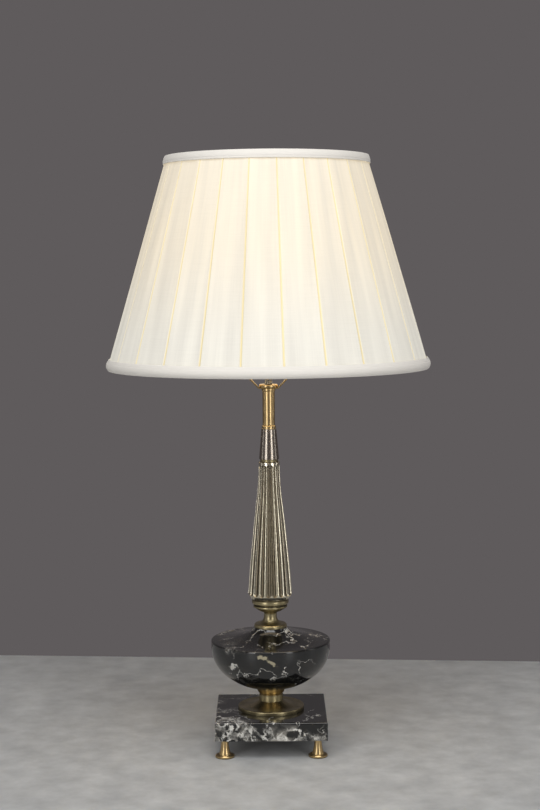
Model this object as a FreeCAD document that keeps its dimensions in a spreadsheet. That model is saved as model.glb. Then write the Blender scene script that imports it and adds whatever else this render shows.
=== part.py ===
"""Column table lamp: a marble and brass standard on four turned feet, with a harp and a pleated
shade. Millimetres, +Z up, the origin on the table under the middle of the lamp, the front at -Y."""

import FreeCAD, Part
import Sketcher
import math
import os
from types import SimpleNamespace

os.makedirs("parts", exist_ok=True)
doc = FreeCAD.newDocument("ColumnTableLamp")

# ---------------------------------------------------------------------------------------------
# Driving dimensions
# ---------------------------------------------------------------------------------------------

DRIVING = {
    # clearances
    "seat_gap": 0.3,            # between curved neighbours, and between pieces that turn
    "fit_gap": 0.15,            # round a stud or a shaft in its own hole
    # rod that everything is threaded on
    "rod_radius": 4.8,
    "rod_bore_radius": 3.4,
    "rod_tail": 8.0,            # of the rod below the plinth's seat
    "rod_head": 6.0,            # of the rod inside the socket's cap
    # feet
    "foot_height": 23.0,
    "foot_pad_radius": 12.0,
    "foot_pad_thick": 3.6,
    "foot_pad_edge": 1.1,
    "foot_flare_radius": 7.6,
    "foot_flare_sag": 0.9,
    "foot_stem_radius": 4.35,
    "foot_spread": 58.0,        # from the lamp's axis to a foot's axis, along X and along Y
    "stud_radius": 2.0,
    "stud_depth": 8.0,          # of a stud in the foot, and in the plinth
    # marble plinth
    "plinth_side": 140.0,
    "plinth_thick": 23.0,
    "plinth_round": 2.4,
    "plinth_recess_radius": 17.0,
    "plinth_recess_depth": 10.0,
    "washer_radius": 14.0,
    "washer_thick": 1.6,
    "nut_flats": 16.0,
    "nut_thick": 4.5,
    "bushing_radius": 5.6,
    "bushing_flange": 1.4,
    "bushing_reach": 7.0,
    "bushing_wall": 0.6,
    # brass flange on the plinth and collar under the bowl
    "flange_radius": 42.0,
    "flange_lip": 5.0,
    "flange_round": 1.2,
    "flange_height": 19.0,
    "flange_neck_radius": 15.2,
    "flange_neck_height": 7.5,
    "flange_sag": 2.9,
    "collar_height": 9.5,
    "collar_groove_radius": 14.6,
    "collar_groove_height": 1.2,
    "collar_low_radius": 16.6,
    "collar_top_radius": 18.6,
    "collar_lip": 1.2,
    # marble bowl and lid
    "bowl_height": 59.9,
    "bowl_foot_radius": 18.4,
    "bowl_turn_radius": 60.0,
    "bowl_turn_height": 18.7,
    "bowl_floor_sag": 3.5,
    "bowl_side_sag": 4.1,
    "bowl_radius": 75.8,
    "bowl_band_height": 6.4,
    "lid_height": 17.6,
    "lid_round": 1.6,
    "lid_shoulder_radius": 28.0,
    "lid_shoulder_height": 10.6,
    "lid_sag": 1.8,
    "lid_top_radius": 21.2,
    "lid_shoulder_sag": 0.8,
    # spool and rings between the lid and the column
    "spool_height": 21.0,
    "spool_disc_radius": 20.6,
    "spool_disc_thick": 4.4,
    "spool_disc_bevel": 1.4,
    "spool_waist_radius": 8.2,
    "spool_sweep": 9.5,
    "spool_cove": 4.6,
    "lower_ring_height": 8.4,
    "lower_ring_foot_radius": 13.9,
    "lower_ring_radius": 21.6,
    "lower_ring_rise": 4.8,
    "ring_round": 1.3,
    "ring_groove_radius": 19.8,
    "ring_groove_height": 1.1,
    "upper_ring_height": 7.1,
    "upper_ring_radius": 23.4,
    # fluted column
    "column_height": 174.5,
    "column_foot_radius": 23.6,
    "column_foot_sag": 1.3,
    "column_radius": 27.7,
    "column_widest_height": 9.0,
    "column_waist_radius": 16.5,
    "column_waist_height": 123.5,
    "column_swell": 0.7,
    "column_top_radius": 13.4,
    "column_neck_height": 172.0,
    "column_neck_sag": 0.8,
    "column_bore_radius": 8.0,
    "flute_count": 20,
    "flute_phase": 283.0,       # direction of one flute's middle, in degrees from +X
    "flute_spans": 5,           # straight runs that follow the taper
    "flute_low": 9.6,           # height of a flute's lower round end in the column
    "flute_high": 169.4,        # height of its upper one
    "flute_share": 0.92,        # of the pitch that a flute takes, the rest is the arris
    "flute_fullness": 1.15,     # a flute's radius over half its width
    # neck ring, dark sleeve and upper tube
    "neck_ring_height": 4.0,
    "neck_ring_radius": 11.4,
    "sleeve_height": 38.0,
    "sleeve_low_radius": 12.7,
    "sleeve_top_radius": 9.5,
    "tube_bore_radius": 6.8,
    "tube_height": 51.2,
    "tube_radius": 7.8,
    "tube_bead_radius": 8.9,
    "tube_bead_height": 4.4,
    "tube_lip_radius": 8.7,
    "tube_lip_height": 2.6,
    # harp
    "saddle_thick": 1.3,
    "saddle_width": 12.7,
    "saddle_flat": 12.6,        # from the axis to where an arm starts to rise
    "saddle_knee": 17.0,        # height of an arm's knee above the saddle's underside
    "saddle_ear": 25.5,         # height of an arm's end
    "disc_radius": 11.8,
    "disc_thick": 4.0,
    "disc_bevel": 0.8,
    "harp_wire_radius": 1.6,
    "harp_foot_half": 28.5,     # from the axis to a leg of the harp at its foot
    "harp_pin_height": 5.0,
    "harp_leg": 24.0,
    "harp_belly_half": 56.0,
    "harp_belly_low": 145.0,
    "harp_belly_high": 214.0,
    "harp_shoulder_half": 27.0,
    "harp_height": 272.8,       # from the saddle's underside to the top run's middle
    "harp_leg_bend": 45.0,
    "harp_belly_bend": 150.0,
    "harp_crown_bend": 70.0,
    "harp_shoulder_bend": 24.0,
    "harp_sleeve_radius": 3.3,
    "harp_sleeve_length": 12.0,
    "harp_sleeve_bevel": 0.5,
    "crown_radius": 6.5,
    "crown_thick": 2.4,
    "post_radius": 3.1,
    "post_length": 15.0,
    # shade
    "hub_radius": 12.0,
    "hub_thick": 1.6,
    "hub_drop": 12.4,           # of the hub's underside below the shade's top edge
    "arm_count": 3,
    "arm_wire_radius": 1.5,
    "shade_height": 264.5,
    "shade_low_radius": 202.65,     # of the pleats' folds, at the shade's lower edge
    "shade_high_radius": 125.05,    # and at its upper edge
    "cover_low": 3.6,
    "cover_head": 1.9,          # of the cover's upper edge below the shade's
    "cover_wall": 0.6,
    "pleat_count": 25,
    "pleat_phase": 260.9,       # direction of one fold, in degrees from +X
    "pleat_sag": 1.1,           # of a pleat's middle behind its folds, at the cover's lower edge
    "pleat_quarter_share": 0.75,    # of that sag, a quarter of the way across
    "pleat_crease": 1.5,        # depth of the crease between two folds
    "pleat_crease_half": 0.5,   # half the crease's width, in degrees
    "ring_wire_radius": 1.6,
    "strut_radius": 1.2,
    "strut_count": 6,
    "liner_wall": 0.5,
    "low_trim_proud": 0.55,     # of the trim's widest over the folds at the shade's lower edge
    "low_trim_height": 14.0,
    "low_trim_floor": 3.2,
    "low_trim_widest": 6.0,
    "low_trim_reach": 8.6,      # of the trim's floor inwards from its widest
    "trim_wall": 1.2,
    "trim_roll": 0.7,           # sag of the trims' rolled faces
    "high_trim_height": 10.4,
    "high_trim_proud": 1.0,    # of the trim's lower edge over the folds behind it
    "high_trim_roof": 1.3,
    "high_trim_reach": 6.5,
    # finial
    "finial_foot_radius": 5.4,
    "finial_foot_height": 2.6,
    "finial_neck_radius": 4.3,
    "finial_neck_height": 2.6,
    "finial_ball_radius": 6.2,
    "finial_ball_sag": 1.4,     # of the ball's lower half, over its chord
    # socket
    "socket_lift": 9.5,         # of bare rod between the disc and the socket
    "socket_wall": 0.6,
    "cap_hub_radius": 8.0,
    "cap_hub_height": 4.5,
    "cap_knee_radius": 14.0,
    "cap_knee_height": 6.8,
    "cap_rise": 12.0,
    "cap_height": 18.0,
    "shell_start": 12.8,
    "socket_height": 62.0,
    "body_start": 8.4,
    "body_waist_radius": 9.6,
    "body_waist_height": 11.5,
    "body_height": 24.5,
    "thread_top": 60.0,
    "contact_radius": 3.0,
    "contact_height": 2.4,
    "terminal_radius": 2.6,
    "terminal_thick": 2.0,
    "terminal_shank": 1.5,
    "terminal_reach": 5.8,      # of a screw into the moulded body
    "terminal_height": 5.0,
    "switch_height": 27.0,
    "shaft_radius": 2.0,
    "shaft_start": 6.5,         # from the lamp's axis
    "shaft_length": 20.0,
    "knob_radius": 6.4,
    "knob_length": 15.0,
    "knob_gap": 1.6,            # between the socket and the knob
    "knob_taper": 1.0,
    "knob_groove_count": 12,
    "knob_groove_radius": 0.9,
    # bulb
    "bulb_thread_radius": 13.1,
    "bulb_tip_radius": 4.4,
    "bulb_tip_low_radius": 3.1,
    "bulb_tip_height": 1.6,
    "bulb_insulator_height": 3.6,
    "bulb_insulator_low": 6.4,
    "bulb_insulator_high": 10.6,
    "bulb_cap_height": 22.0,
    "bulb_neck_radius": 12.8,
    "bulb_neck_height": 5.0,
    "bulb_shoulder_radius": 24.5,
    "bulb_shoulder_height": 32.0,
    "bulb_shoulder_sag": 1.8,
    "bulb_radius": 30.0,
    "bulb_height": 83.0,
}

sheet = doc.addObject("Spreadsheet::Sheet", "Sizes")
for row, (alias, value) in enumerate(DRIVING.items(), start=1):
    sheet.set(f"A{row}", alias)
    sheet.set(f"B{row}", str(value))
    sheet.setAlias(f"B{row}", alias)
doc.recompute()


class Size:
    """A size of the lamp: its value now, and the expression that ties it to the sheet."""

    def __init__(self, value, text):
        self.value = float(value)
        self.text = text

    def __add__(self, other):
        other = as_size(other)
        return Size(self.value + other.value, f"({self.text} + {other.text})")

    def __sub__(self, other):
        other = as_size(other)
        return Size(self.value - other.value, f"({self.text} - {other.text})")

    def __mul__(self, other):
        other = as_size(other)
        return Size(self.value * other.value, f"({self.text} * {other.text})")

    def __truediv__(self, other):
        other = as_size(other)
        return Size(self.value / other.value, f"({self.text} / {other.text})")

    def __neg__(self):
        return Size(-self.value, f"(0 - {self.text})")


def as_size(number):
    return number if isinstance(number, Size) else Size(number, f"{number:.6f}")


s = SimpleNamespace(**{alias: Size(sheet.get(alias), "Sizes." + alias) for alias in DRIVING})
ZERO = as_size(0)

# Heights of the stack, from the table up
plinth_base = s.foot_height
flange_base = plinth_base + s.plinth_thick
collar_base = flange_base + s.flange_height
bowl_base = collar_base + s.collar_height
lid_base = bowl_base + s.bowl_height
spool_base = lid_base + s.lid_height
lower_ring_base = spool_base + s.spool_height
upper_ring_base = lower_ring_base + s.lower_ring_height
column_base = upper_ring_base + s.upper_ring_height
neck_ring_base = column_base + s.column_height
sleeve_base = neck_ring_base + s.neck_ring_height
tube_base = sleeve_base + s.sleeve_height
saddle_base = tube_base + s.tube_height
disc_base = saddle_base + s.saddle_thick
disc_top = disc_base + s.disc_thick
socket_base = disc_top + s.socket_lift
crown_base = saddle_base + s.harp_height + s.harp_wire_radius + s.fit_gap
hub_base = crown_base + s.crown_thick + s.seat_gap
shade_base = hub_base + s.hub_drop - s.shade_height
plinth_seat = plinth_base + s.plinth_recess_depth
rod_base = plinth_seat - s.rod_tail

rod_hole = s.rod_radius + s.seat_gap

# ---------------------------------------------------------------------------------------------
# Ways of building
# ---------------------------------------------------------------------------------------------

ROUND = 1       # an arc that swells out of the piece
HOLLOW = -1     # an arc that sinks into it
pieces = []


def keep(piece):
    pieces.append(piece)
    return piece


def new_body(label, base=ZERO):
    body = doc.addObject("PartDesign::Body", label)
    body.Label = label
    body.setExpression("Placement.Base.z", base.text)
    return keep(body)


def origin_feature(body, role):
    return next(item for item in body.Origin.OriginFeatures if item.Role == role)


def new_sketch(body, name, role, offset=ZERO):
    sketch = body.newObject("Sketcher::SketchObject", name)
    sketch.AttachmentSupport = [(origin_feature(body, role), "")]
    sketch.MapMode = "FlatFace"
    sketch.setExpression("AttachmentOffset.Base.z", offset.text)
    return sketch


def place_point(sketch, geometry, end, across, up):
    """Tie one point of a sketch to its two sizes, measured from the sketch's origin."""
    for kind, axis, length in (("DistanceX", -2, across), ("DistanceY", -1, up)):
        if abs(length.value) < 1e-9:
            sketch.addConstraint(Sketcher.Constraint("PointOnObject", geometry, end, axis))
        else:
            tie = Sketcher.Constraint(kind, -1, 1, geometry, end, length.value)
            sketch.setExpression(f"Constraints[{sketch.addConstraint(tie)}]", length.text)


def arc_between(start, end, radius, side):
    """The arc from start to end, as a circle with its two angles, and which end comes first."""
    middle = (start + end) / 2
    chord = end - start
    left = FreeCAD.Vector(-chord.y, chord.x, 0).normalize()
    rise = math.sqrt(max(radius ** 2 - chord.Length ** 2 / 4, 0.0))
    center = middle + left * (rise * side)
    circle = Part.Circle(center, FreeCAD.Vector(0, 0, 1), radius)
    first, last = (start, end) if side == ROUND else (end, start)
    angles = [math.atan2(point.y - center.y, point.x - center.x) for point in (first, last)]
    return Part.ArcOfCircle(circle, angles[0], angles[1])


def outline(sketch, corners):
    """A closed outline, anticlockwise. A corner is (across, up), or (across, up, radius, side)
    where an arc leaves it."""
    points = [FreeCAD.Vector(corner[0].value, corner[1].value, 0) for corner in corners]
    ends = []
    for index, corner in enumerate(corners):
        start = points[index]
        end = points[(index + 1) % len(points)]
        if len(corner) == 2:
            geometry = sketch.addGeometry(Part.LineSegment(start, end), False)
            ends.append((geometry, 1, 2))
        else:
            arc = arc_between(start, end, corner[2].value, corner[3])
            geometry = sketch.addGeometry(arc, False)
            ends.append((geometry, 1, 2) if corner[3] == ROUND else (geometry, 2, 1))
    for index, (geometry, _, last) in enumerate(ends):
        following, first, _ = ends[(index + 1) % len(ends)]
        sketch.addConstraint(Sketcher.Constraint("Coincident", geometry, last, following, first))
    for (geometry, first, _), corner in zip(ends, corners):
        place_point(sketch, geometry, first, corner[0], corner[1])
        if len(corner) > 2:
            tie = Sketcher.Constraint("Radius", geometry, corner[2].value)
            sketch.setExpression(f"Constraints[{sketch.addConstraint(tie)}]", corner[2].text)


def circle(sketch, across, up, radius):
    center = FreeCAD.Vector(across.value, up.value, 0)
    geometry = sketch.addGeometry(
        Part.Circle(center, FreeCAD.Vector(0, 0, 1), radius.value), False)
    place_point(sketch, geometry, 3, across, up)
    tie = Sketcher.Constraint("Radius", geometry, radius.value)
    sketch.setExpression(f"Constraints[{sketch.addConstraint(tie)}]", radius.text)


def sag_radius(start, end, sag):
    """Radius of an arc from its two ends and its sag."""
    across = end[0] - start[0]
    up = end[1] - start[1]
    return (across * across + up * up) / (sag * 8) + sag / 2


def turned(label, corners, base=ZERO):
    """A piece turned about Z from an outline in the XZ plane."""
    body = new_body(label, base)
    profile = new_sketch(body, label + "_profile", "XZ_Plane")
    outline(profile, corners)
    revolve = body.newObject("PartDesign::Revolution", label + "_turned")
    revolve.Profile = profile
    revolve.ReferenceAxis = (profile, ["V_Axis"])
    revolve.Angle = 360
    profile.Visibility = False
    return body


def bevelled_corners(inner, outer, height, edge):
    """Outline of a plain ring whose outer edges are bevelled by edge."""
    return [
        (inner, ZERO),
        (outer - edge, ZERO),
        (outer, edge),
        (outer, height - edge),
        (outer - edge, height),
        (inner, height),
    ]


def rounded_corners(inner, outer, height, edge):
    """Outline of a plain ring whose outer edges are rounded by edge."""
    return [
        (inner, ZERO),
        (outer - edge, ZERO, edge, ROUND),
        (outer, edge),
        (outer, height - edge, edge, ROUND),
        (outer - edge, height),
        (inner, height),
    ]


def add(body, kind, name, profile, **settings):
    """Add a PartDesign feature: a Size is bound to the sheet, anything else is set."""
    feature = body.newObject("PartDesign::" + kind, name)
    if profile is not None:
        feature.Profile = profile
    for setting, value in settings.items():
        if isinstance(value, Size):
            feature.setExpression(setting, value.text)
        else:
            setattr(feature, setting, value)
    return feature


def volume_after(body):
    doc.recompute()
    return body.Shape.Volume


def cut(body, name, profile, **settings):
    """A pocket that has to take something away: if it points the wrong way it is turned round."""
    before = volume_after(body)
    feature = add(body, "Pocket", name, profile, **settings)
    if volume_after(body) > before - 1e-6:
        feature.Reversed = not feature.Reversed
    if volume_after(body) > before - 1e-6:
        raise RuntimeError(name + " cuts nothing")
    return feature


def sloping_rod(body, name, start, end, radius):
    """A round rod in the XZ plane from start to end, each given as (across, up)."""
    across = end[0] - start[0]
    up = end[1] - start[1]
    rod = body.newObject("PartDesign::AdditiveCylinder", name)
    rod.AttachmentSupport = [(origin_feature(body, "XY_Plane"), "")]
    rod.MapMode = "FlatFace"
    tilt = math.degrees(math.atan2(across.value, up.value))
    rod.AttachmentOffset = FreeCAD.Placement(
        FreeCAD.Vector(start[0].value, 0, start[1].value),
        FreeCAD.Rotation(FreeCAD.Vector(0, 1, 0), tilt))
    rod.setExpression("AttachmentOffset.Base.x", start[0].text)
    rod.setExpression("AttachmentOffset.Base.z", start[1].text)
    rod.setExpression("AttachmentOffset.Rotation.Angle", f"atan2({across.text}; {up.text})")
    rod.setExpression("Radius", radius.text)
    rod.setExpression("Height", f"sqrt({across.text} ^ 2 + {up.text} ^ 2)")
    return rod


def around(body, name, originals, count):
    """Repeat features about the body's Z axis."""
    pattern = body.newObject("PartDesign::PolarPattern", name)
    pattern.Originals = originals
    pattern.Axis = (origin_feature(body, "Z_Axis"), [""])
    pattern.Angle = 360
    pattern.setExpression("Occurrences", count.text)
    body.Tip = pattern
    return pattern


def coded(label, shape, base=ZERO):
    """A piece whose shape is worked out in code from the sheet's sizes."""
    piece = doc.addObject("Part::Feature", label)
    piece.Label = label
    piece.Shape = shape
    piece.setExpression("Placement.Base.z", base.text)
    return keep(piece)


# ---------------------------------------------------------------------------------------------
# Base: feet, plinth, flange, bowl
# ---------------------------------------------------------------------------------------------

def make_foot(label, across, along):
    """Trumpet foot with a rounded pad and a blind hole for its stud."""
    flare = (s.foot_flare_radius, s.foot_pad_thick)
    stem = (s.foot_stem_radius, s.foot_height)
    hole = s.stud_radius + s.fit_gap
    body = turned(label, [
        (ZERO, ZERO),
        (s.foot_pad_radius - s.foot_pad_edge, ZERO),
        (s.foot_pad_radius, s.foot_pad_edge),
        (s.foot_pad_radius, s.foot_pad_thick - s.foot_pad_edge),
        (s.foot_pad_radius - s.foot_pad_edge, s.foot_pad_thick),
        (*flare, sag_radius(flare, stem, s.foot_flare_sag), HOLLOW),
        stem,
        (hole, s.foot_height),
        (hole, s.foot_height - s.stud_depth - s.fit_gap),
        (ZERO, s.foot_height - s.stud_depth - s.fit_gap),
    ])
    body.setExpression("Placement.Base.x", across.text)
    body.setExpression("Placement.Base.y", along.text)


def foot_places():
    return [
        ("foot_front_left", -s.foot_spread, -s.foot_spread),
        ("foot_front_right", s.foot_spread, -s.foot_spread),
        ("foot_back_left", -s.foot_spread, s.foot_spread),
        ("foot_back_right", s.foot_spread, s.foot_spread),
    ]


def make_foot_studs():
    body = new_body("foot_studs", s.foot_height - s.stud_depth)
    profile = new_sketch(body, "stud_circles", "XY_Plane")
    for _, across, along in foot_places():
        circle(profile, across, along, s.stud_radius)
    add(body, "Pad", "studs", profile, Length=s.stud_depth * 2)


def make_plinth():
    """Marble slab, eased round its top, recessed below for the nut, drilled for rod and studs."""
    body = new_body("plinth", plinth_base)
    half = s.plinth_side / 2
    square = new_sketch(body, "plinth_square", "XY_Plane")
    outline(square, [(-half, -half), (half, -half), (half, half), (-half, half)])
    slab = add(body, "Pad", "plinth_slab", square, Length=s.plinth_thick)
    doc.recompute()
    rims = [
        f"Edge{number}" for number, edge in enumerate(slab.Shape.Edges, start=1)
        if all(abs(vertex.Z - s.plinth_thick.value) < 1e-6 for vertex in edge.Vertexes)
    ]
    rounding = body.newObject("PartDesign::Fillet", "plinth_rounding")
    rounding.Base = (slab, rims)
    rounding.setExpression("Radius", s.plinth_round.text)
    bore = new_sketch(body, "plinth_bore", "XY_Plane")
    circle(bore, ZERO, ZERO, rod_hole)
    cut(body, "plinth_through", bore, Length=s.plinth_thick)
    recess = new_sketch(body, "plinth_recess", "XY_Plane")
    circle(recess, ZERO, ZERO, s.plinth_recess_radius)
    cut(body, "plinth_counterbore", recess, Length=s.plinth_recess_depth)
    holes = new_sketch(body, "plinth_stud_circles", "XY_Plane")
    for _, across, along in foot_places():
        circle(holes, across, along, s.stud_radius + s.fit_gap)
    cut(body, "plinth_stud_holes", holes, Length=s.stud_depth + s.fit_gap)


def make_rod_parts():
    """Threaded rod from the plinth to the socket, with its washer, nut and cord bushing."""
    rod_length = socket_base + s.rod_head - rod_base
    turned("center_rod", [
        (s.rod_bore_radius, ZERO),
        (s.rod_radius, ZERO),
        (s.rod_radius, rod_length),
        (s.rod_bore_radius, rod_length),
    ], rod_base)
    turned("rod_washer", [
        (rod_hole, ZERO),
        (s.washer_radius, ZERO),
        (s.washer_radius, s.washer_thick),
        (rod_hole, s.washer_thick),
    ], plinth_seat - s.washer_thick)
    nut = new_body("rod_nut", plinth_seat - s.washer_thick - s.nut_thick)
    hexagon = new_sketch(nut, "nut_hexagon", "XY_Plane")
    corner = s.nut_flats / math.sqrt(3)
    outline(hexagon, [
        (corner * math.cos(math.radians(turn)), corner * math.sin(math.radians(turn)))
        for turn in range(30, 390, 60)
    ])
    circle(hexagon, ZERO, ZERO, rod_hole)
    add(nut, "Pad", "nut_pad", hexagon, Length=s.nut_thick)
    sleeve = s.rod_bore_radius - s.fit_gap
    opening = sleeve - s.bushing_wall
    turned("cord_bushing", [
        (opening, -s.bushing_flange),
        (s.bushing_radius, -s.bushing_flange),
        (s.bushing_radius, ZERO),
        (sleeve, ZERO),
        (sleeve, s.bushing_reach),
        (opening, s.bushing_reach),
    ], rod_base)


def make_base_flange():
    """Round flange on the plinth that sweeps up to a short neck."""
    edge = s.flange_round
    rim = (s.flange_radius - edge, s.flange_lip)
    neck = (s.flange_neck_radius, s.flange_height - s.flange_neck_height)
    turned("base_flange", [
        (rod_hole, ZERO),
        (s.flange_radius, ZERO),
        (s.flange_radius, s.flange_lip - edge, edge, ROUND),
        (*rim, sag_radius(rim, neck, s.flange_sag), HOLLOW),
        neck,
        (s.flange_neck_radius, s.flange_height),
        (rod_hole, s.flange_height),
    ], flange_base)


def make_bowl_collar():
    low = s.collar_groove_height + s.collar_low_radius - s.collar_groove_radius
    turned("bowl_collar", [
        (rod_hole, ZERO),
        (s.collar_groove_radius, ZERO),
        (s.collar_groove_radius, s.collar_groove_height),
        (s.collar_low_radius, low),
        (s.collar_top_radius, s.collar_height - s.collar_lip),
        (s.collar_top_radius, s.collar_height),
        (rod_hole, s.collar_height),
    ], collar_base)


def make_bowl():
    """Squat marble bowl: a shallow floor that turns up into the side, then an upright band."""
    foot = (s.bowl_foot_radius, ZERO)
    turn = (s.bowl_turn_radius, s.bowl_turn_height)
    band = (s.bowl_radius, s.bowl_height - s.bowl_band_height)
    turned("marble_bowl", [
        (rod_hole, ZERO),
        (*foot, sag_radius(foot, turn, s.bowl_floor_sag), ROUND),
        (*turn, sag_radius(turn, band, s.bowl_side_sag), ROUND),
        band,
        (s.bowl_radius, s.bowl_height),
        (rod_hole, s.bowl_height),
    ], bowl_base)


def make_lid():
    """Marble lid that closes the bowl, dished up to the foot of the spool."""
    rim = (s.bowl_radius - s.lid_round, s.lid_round)
    shoulder = (s.lid_shoulder_radius, s.lid_shoulder_height)
    top = (s.lid_top_radius, s.lid_height)
    turned("marble_lid", [
        (rod_hole, ZERO),
        (s.bowl_radius, ZERO, s.lid_round, ROUND),
        (*rim, sag_radius(rim, shoulder, s.lid_sag), HOLLOW),
        (*shoulder, sag_radius(shoulder, top, s.lid_shoulder_sag), HOLLOW),
        top,
        (rod_hole, s.lid_height),
    ], lid_base)


# ---------------------------------------------------------------------------------------------
# Column: spool, rings, fluted shaft, sleeve and tube
# ---------------------------------------------------------------------------------------------

def make_spool():
    """Disc on the lid, drawn in to a narrow waist and out again under the rings."""
    disc = s.spool_disc_radius
    waist = s.spool_waist_radius
    turned("column_spool", [
        (rod_hole, ZERO),
        (disc, ZERO),
        (disc, s.spool_disc_thick - s.spool_disc_bevel),
        (disc - s.spool_disc_bevel, s.spool_disc_thick),
        (waist + s.spool_sweep, s.spool_disc_thick, s.spool_sweep, HOLLOW),
        (waist, s.spool_disc_thick + s.spool_sweep),
        (waist, s.spool_height - s.spool_cove, s.spool_cove, HOLLOW),
        (waist + s.spool_cove, s.spool_height),
        (rod_hole, s.spool_height),
    ], spool_base)


def make_rings():
    """The two turned rings that the fluted column stands on."""
    edge = s.ring_round
    groove = s.ring_groove_radius
    lower = s.lower_ring_radius
    lower_top = s.lower_ring_height - s.ring_groove_height
    turned("column_lower_ring", [
        (rod_hole, ZERO),
        (s.lower_ring_foot_radius, ZERO),
        (lower, s.lower_ring_rise),
        (lower, lower_top - edge, edge, ROUND),
        (lower - edge, lower_top),
        (groove, lower_top),
        (groove, s.lower_ring_height),
        (rod_hole, s.lower_ring_height),
    ], lower_ring_base)
    upper_ring = rounded_corners(rod_hole, s.upper_ring_radius, s.upper_ring_height, edge * 2)
    turned("column_upper_ring", upper_ring, upper_ring_base)


LEAST_SCOOP = 0.02      # share of the pitch that a scoop's place keeps where it has run out
SCOOP_RUNS = 4          # straight runs across a scoop


def column_surface(height):
    """Radius of the column's surface, before the flutes, at a height above its foot."""
    runs = [
        (0.0, s.column_foot_radius, s.column_widest_height, s.column_radius, s.column_foot_sag),
        (s.column_widest_height.value, s.column_radius, s.column_waist_height,
         s.column_waist_radius, s.column_swell),
        (s.column_waist_height.value, s.column_waist_radius, s.column_neck_height,
         s.column_top_radius, -s.column_neck_sag),
    ]
    for start, start_radius, end, end_radius, sag in runs:
        if height <= end.value:
            part = (height - start) / (end.value - start)
            chord = start_radius.value + (end_radius.value - start_radius.value) * part
            return chord + 4 * sag.value * part * (1 - part)
    return s.column_top_radius.value


def column_loop(height, scoop_radius, scoop_center):
    """One turn of the fluted surface: a scoop in straight runs, then the arris up to the next
    scoop. Where a scoop has run out, the surface is whole."""
    surface = column_surface(height)
    pitch = 2 * math.pi / s.flute_count.value
    meeting = surface ** 2 + scoop_center ** 2 - scoop_radius ** 2
    half_angle = math.acos(min(meeting / (2 * surface * scoop_center), 1.0))
    half_angle = max(half_angle, pitch * LEAST_SCOOP)
    points = []
    for flute in range(round(s.flute_count.value)):
        middle = math.radians(s.flute_phase.value) + flute * pitch
        for run in range(SCOOP_RUNS + 1):
            aside = half_angle * (2 * run / SCOOP_RUNS - 1)
            to_scoop = scoop_radius ** 2 - (scoop_center * math.sin(aside)) ** 2
            scooped = scoop_center * math.cos(aside) - math.sqrt(max(to_scoop, 0.0))
            radius = min(scooped, surface)
            points.append(FreeCAD.Vector(
                radius * math.cos(middle + aside), radius * math.sin(middle + aside), height))
        between = middle + pitch / 2
        points.append(FreeCAD.Vector(
            surface * math.cos(between), surface * math.sin(between), height))
    return Part.makePolygon(points + points[:1])


BALL_STEPS = (0.45, 0.75, 0.9)  # heights of the loops in a flute's round end, in its radius


def make_fluted_column():
    """Tapered shaft with scooped flutes. Each flute keeps one share of the shaft's radius all the
    way up, and ends in a round scoop, as a ball-nosed cutter leaves it."""
    half_width = math.pi / s.flute_count.value * s.flute_share.value
    cutter = math.sin(half_width) * s.flute_fullness.value
    reach = math.cos(half_width) + math.sqrt(cutter ** 2 - math.sin(half_width) ** 2)
    low = s.flute_low.value
    high = s.flute_high.value

    def ball_end(height, direction):
        """Loops of the round ends, from the run of the flutes outwards."""
        surface = column_surface(height)
        ball = surface * cutter
        return [
            column_loop(height + direction * step * ball, ball * math.sqrt(1 - step ** 2),
                        surface * reach)
            for step in BALL_STEPS
        ]

    loops = ball_end(low, -1)[::-1]
    spans = round(s.flute_spans.value)
    for span in range(spans + 1):
        height = low + (high - low) * span / spans
        surface = column_surface(height)
        loops.append(column_loop(height, surface * cutter, surface * reach))
    loops += ball_end(high, 1)
    fluted = Part.makeLoft(loops, True, True)
    plain = [
        plain_stretch(0.0, fluted.BoundBox.ZMin),
        plain_stretch(fluted.BoundBox.ZMax, s.column_height.value),
    ]
    bore = Part.makeCylinder(s.column_bore_radius.value, s.column_height.value)
    coded("fluted_column", fluted.fuse(plain).cut(bore).removeSplitter(), column_base)


def plain_stretch(start, end):
    """The shaft's plain stretch below or above the flutes, turned from three short runs."""
    heights = [start + (end - start) * run / 3 for run in range(4)]
    side = [FreeCAD.Vector(column_surface(up), 0, up) for up in heights]
    axis = [FreeCAD.Vector(0, 0, end), FreeCAD.Vector(0, 0, start)]
    half_plane = Part.Face(Part.makePolygon(side + axis + side[:1]))
    return half_plane.revolve(FreeCAD.Vector(), FreeCAD.Vector(0, 0, 1), 360)


def make_neck():
    """Plain ring above the flutes, the dark tapered sleeve and the bright upper tube."""
    turned("neck_ring", [
        (s.tube_bore_radius, ZERO),
        (s.neck_ring_radius, ZERO),
        (s.neck_ring_radius, s.neck_ring_height),
        (s.tube_bore_radius, s.neck_ring_height),
    ], neck_ring_base)
    turned("dark_sleeve", [
        (s.tube_bore_radius, ZERO),
        (s.sleeve_low_radius, ZERO),
        (s.sleeve_top_radius, s.sleeve_height),
        (s.tube_bore_radius, s.sleeve_height),
    ], sleeve_base)
    bead = s.tube_bead_radius
    edge = s.tube_bead_radius - s.tube_radius
    lip_edge = s.tube_lip_radius - s.tube_radius
    lip_start = s.tube_height - s.tube_lip_height
    turned("upper_tube", [
        (s.tube_bore_radius, ZERO),
        (bead, ZERO),
        (bead, s.tube_bead_height - edge, edge, ROUND),
        (bead - edge, s.tube_bead_height),
        (s.tube_radius, lip_start - lip_edge),
        (s.tube_lip_radius, lip_start),
        (s.tube_lip_radius, s.tube_height),
        (rod_hole, s.tube_height),
        (rod_hole, s.tube_height - s.tube_lip_height),
        (s.tube_bore_radius, s.tube_height - s.tube_lip_height),
    ], tube_base)


# ---------------------------------------------------------------------------------------------
# Harp
# ---------------------------------------------------------------------------------------------

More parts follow.
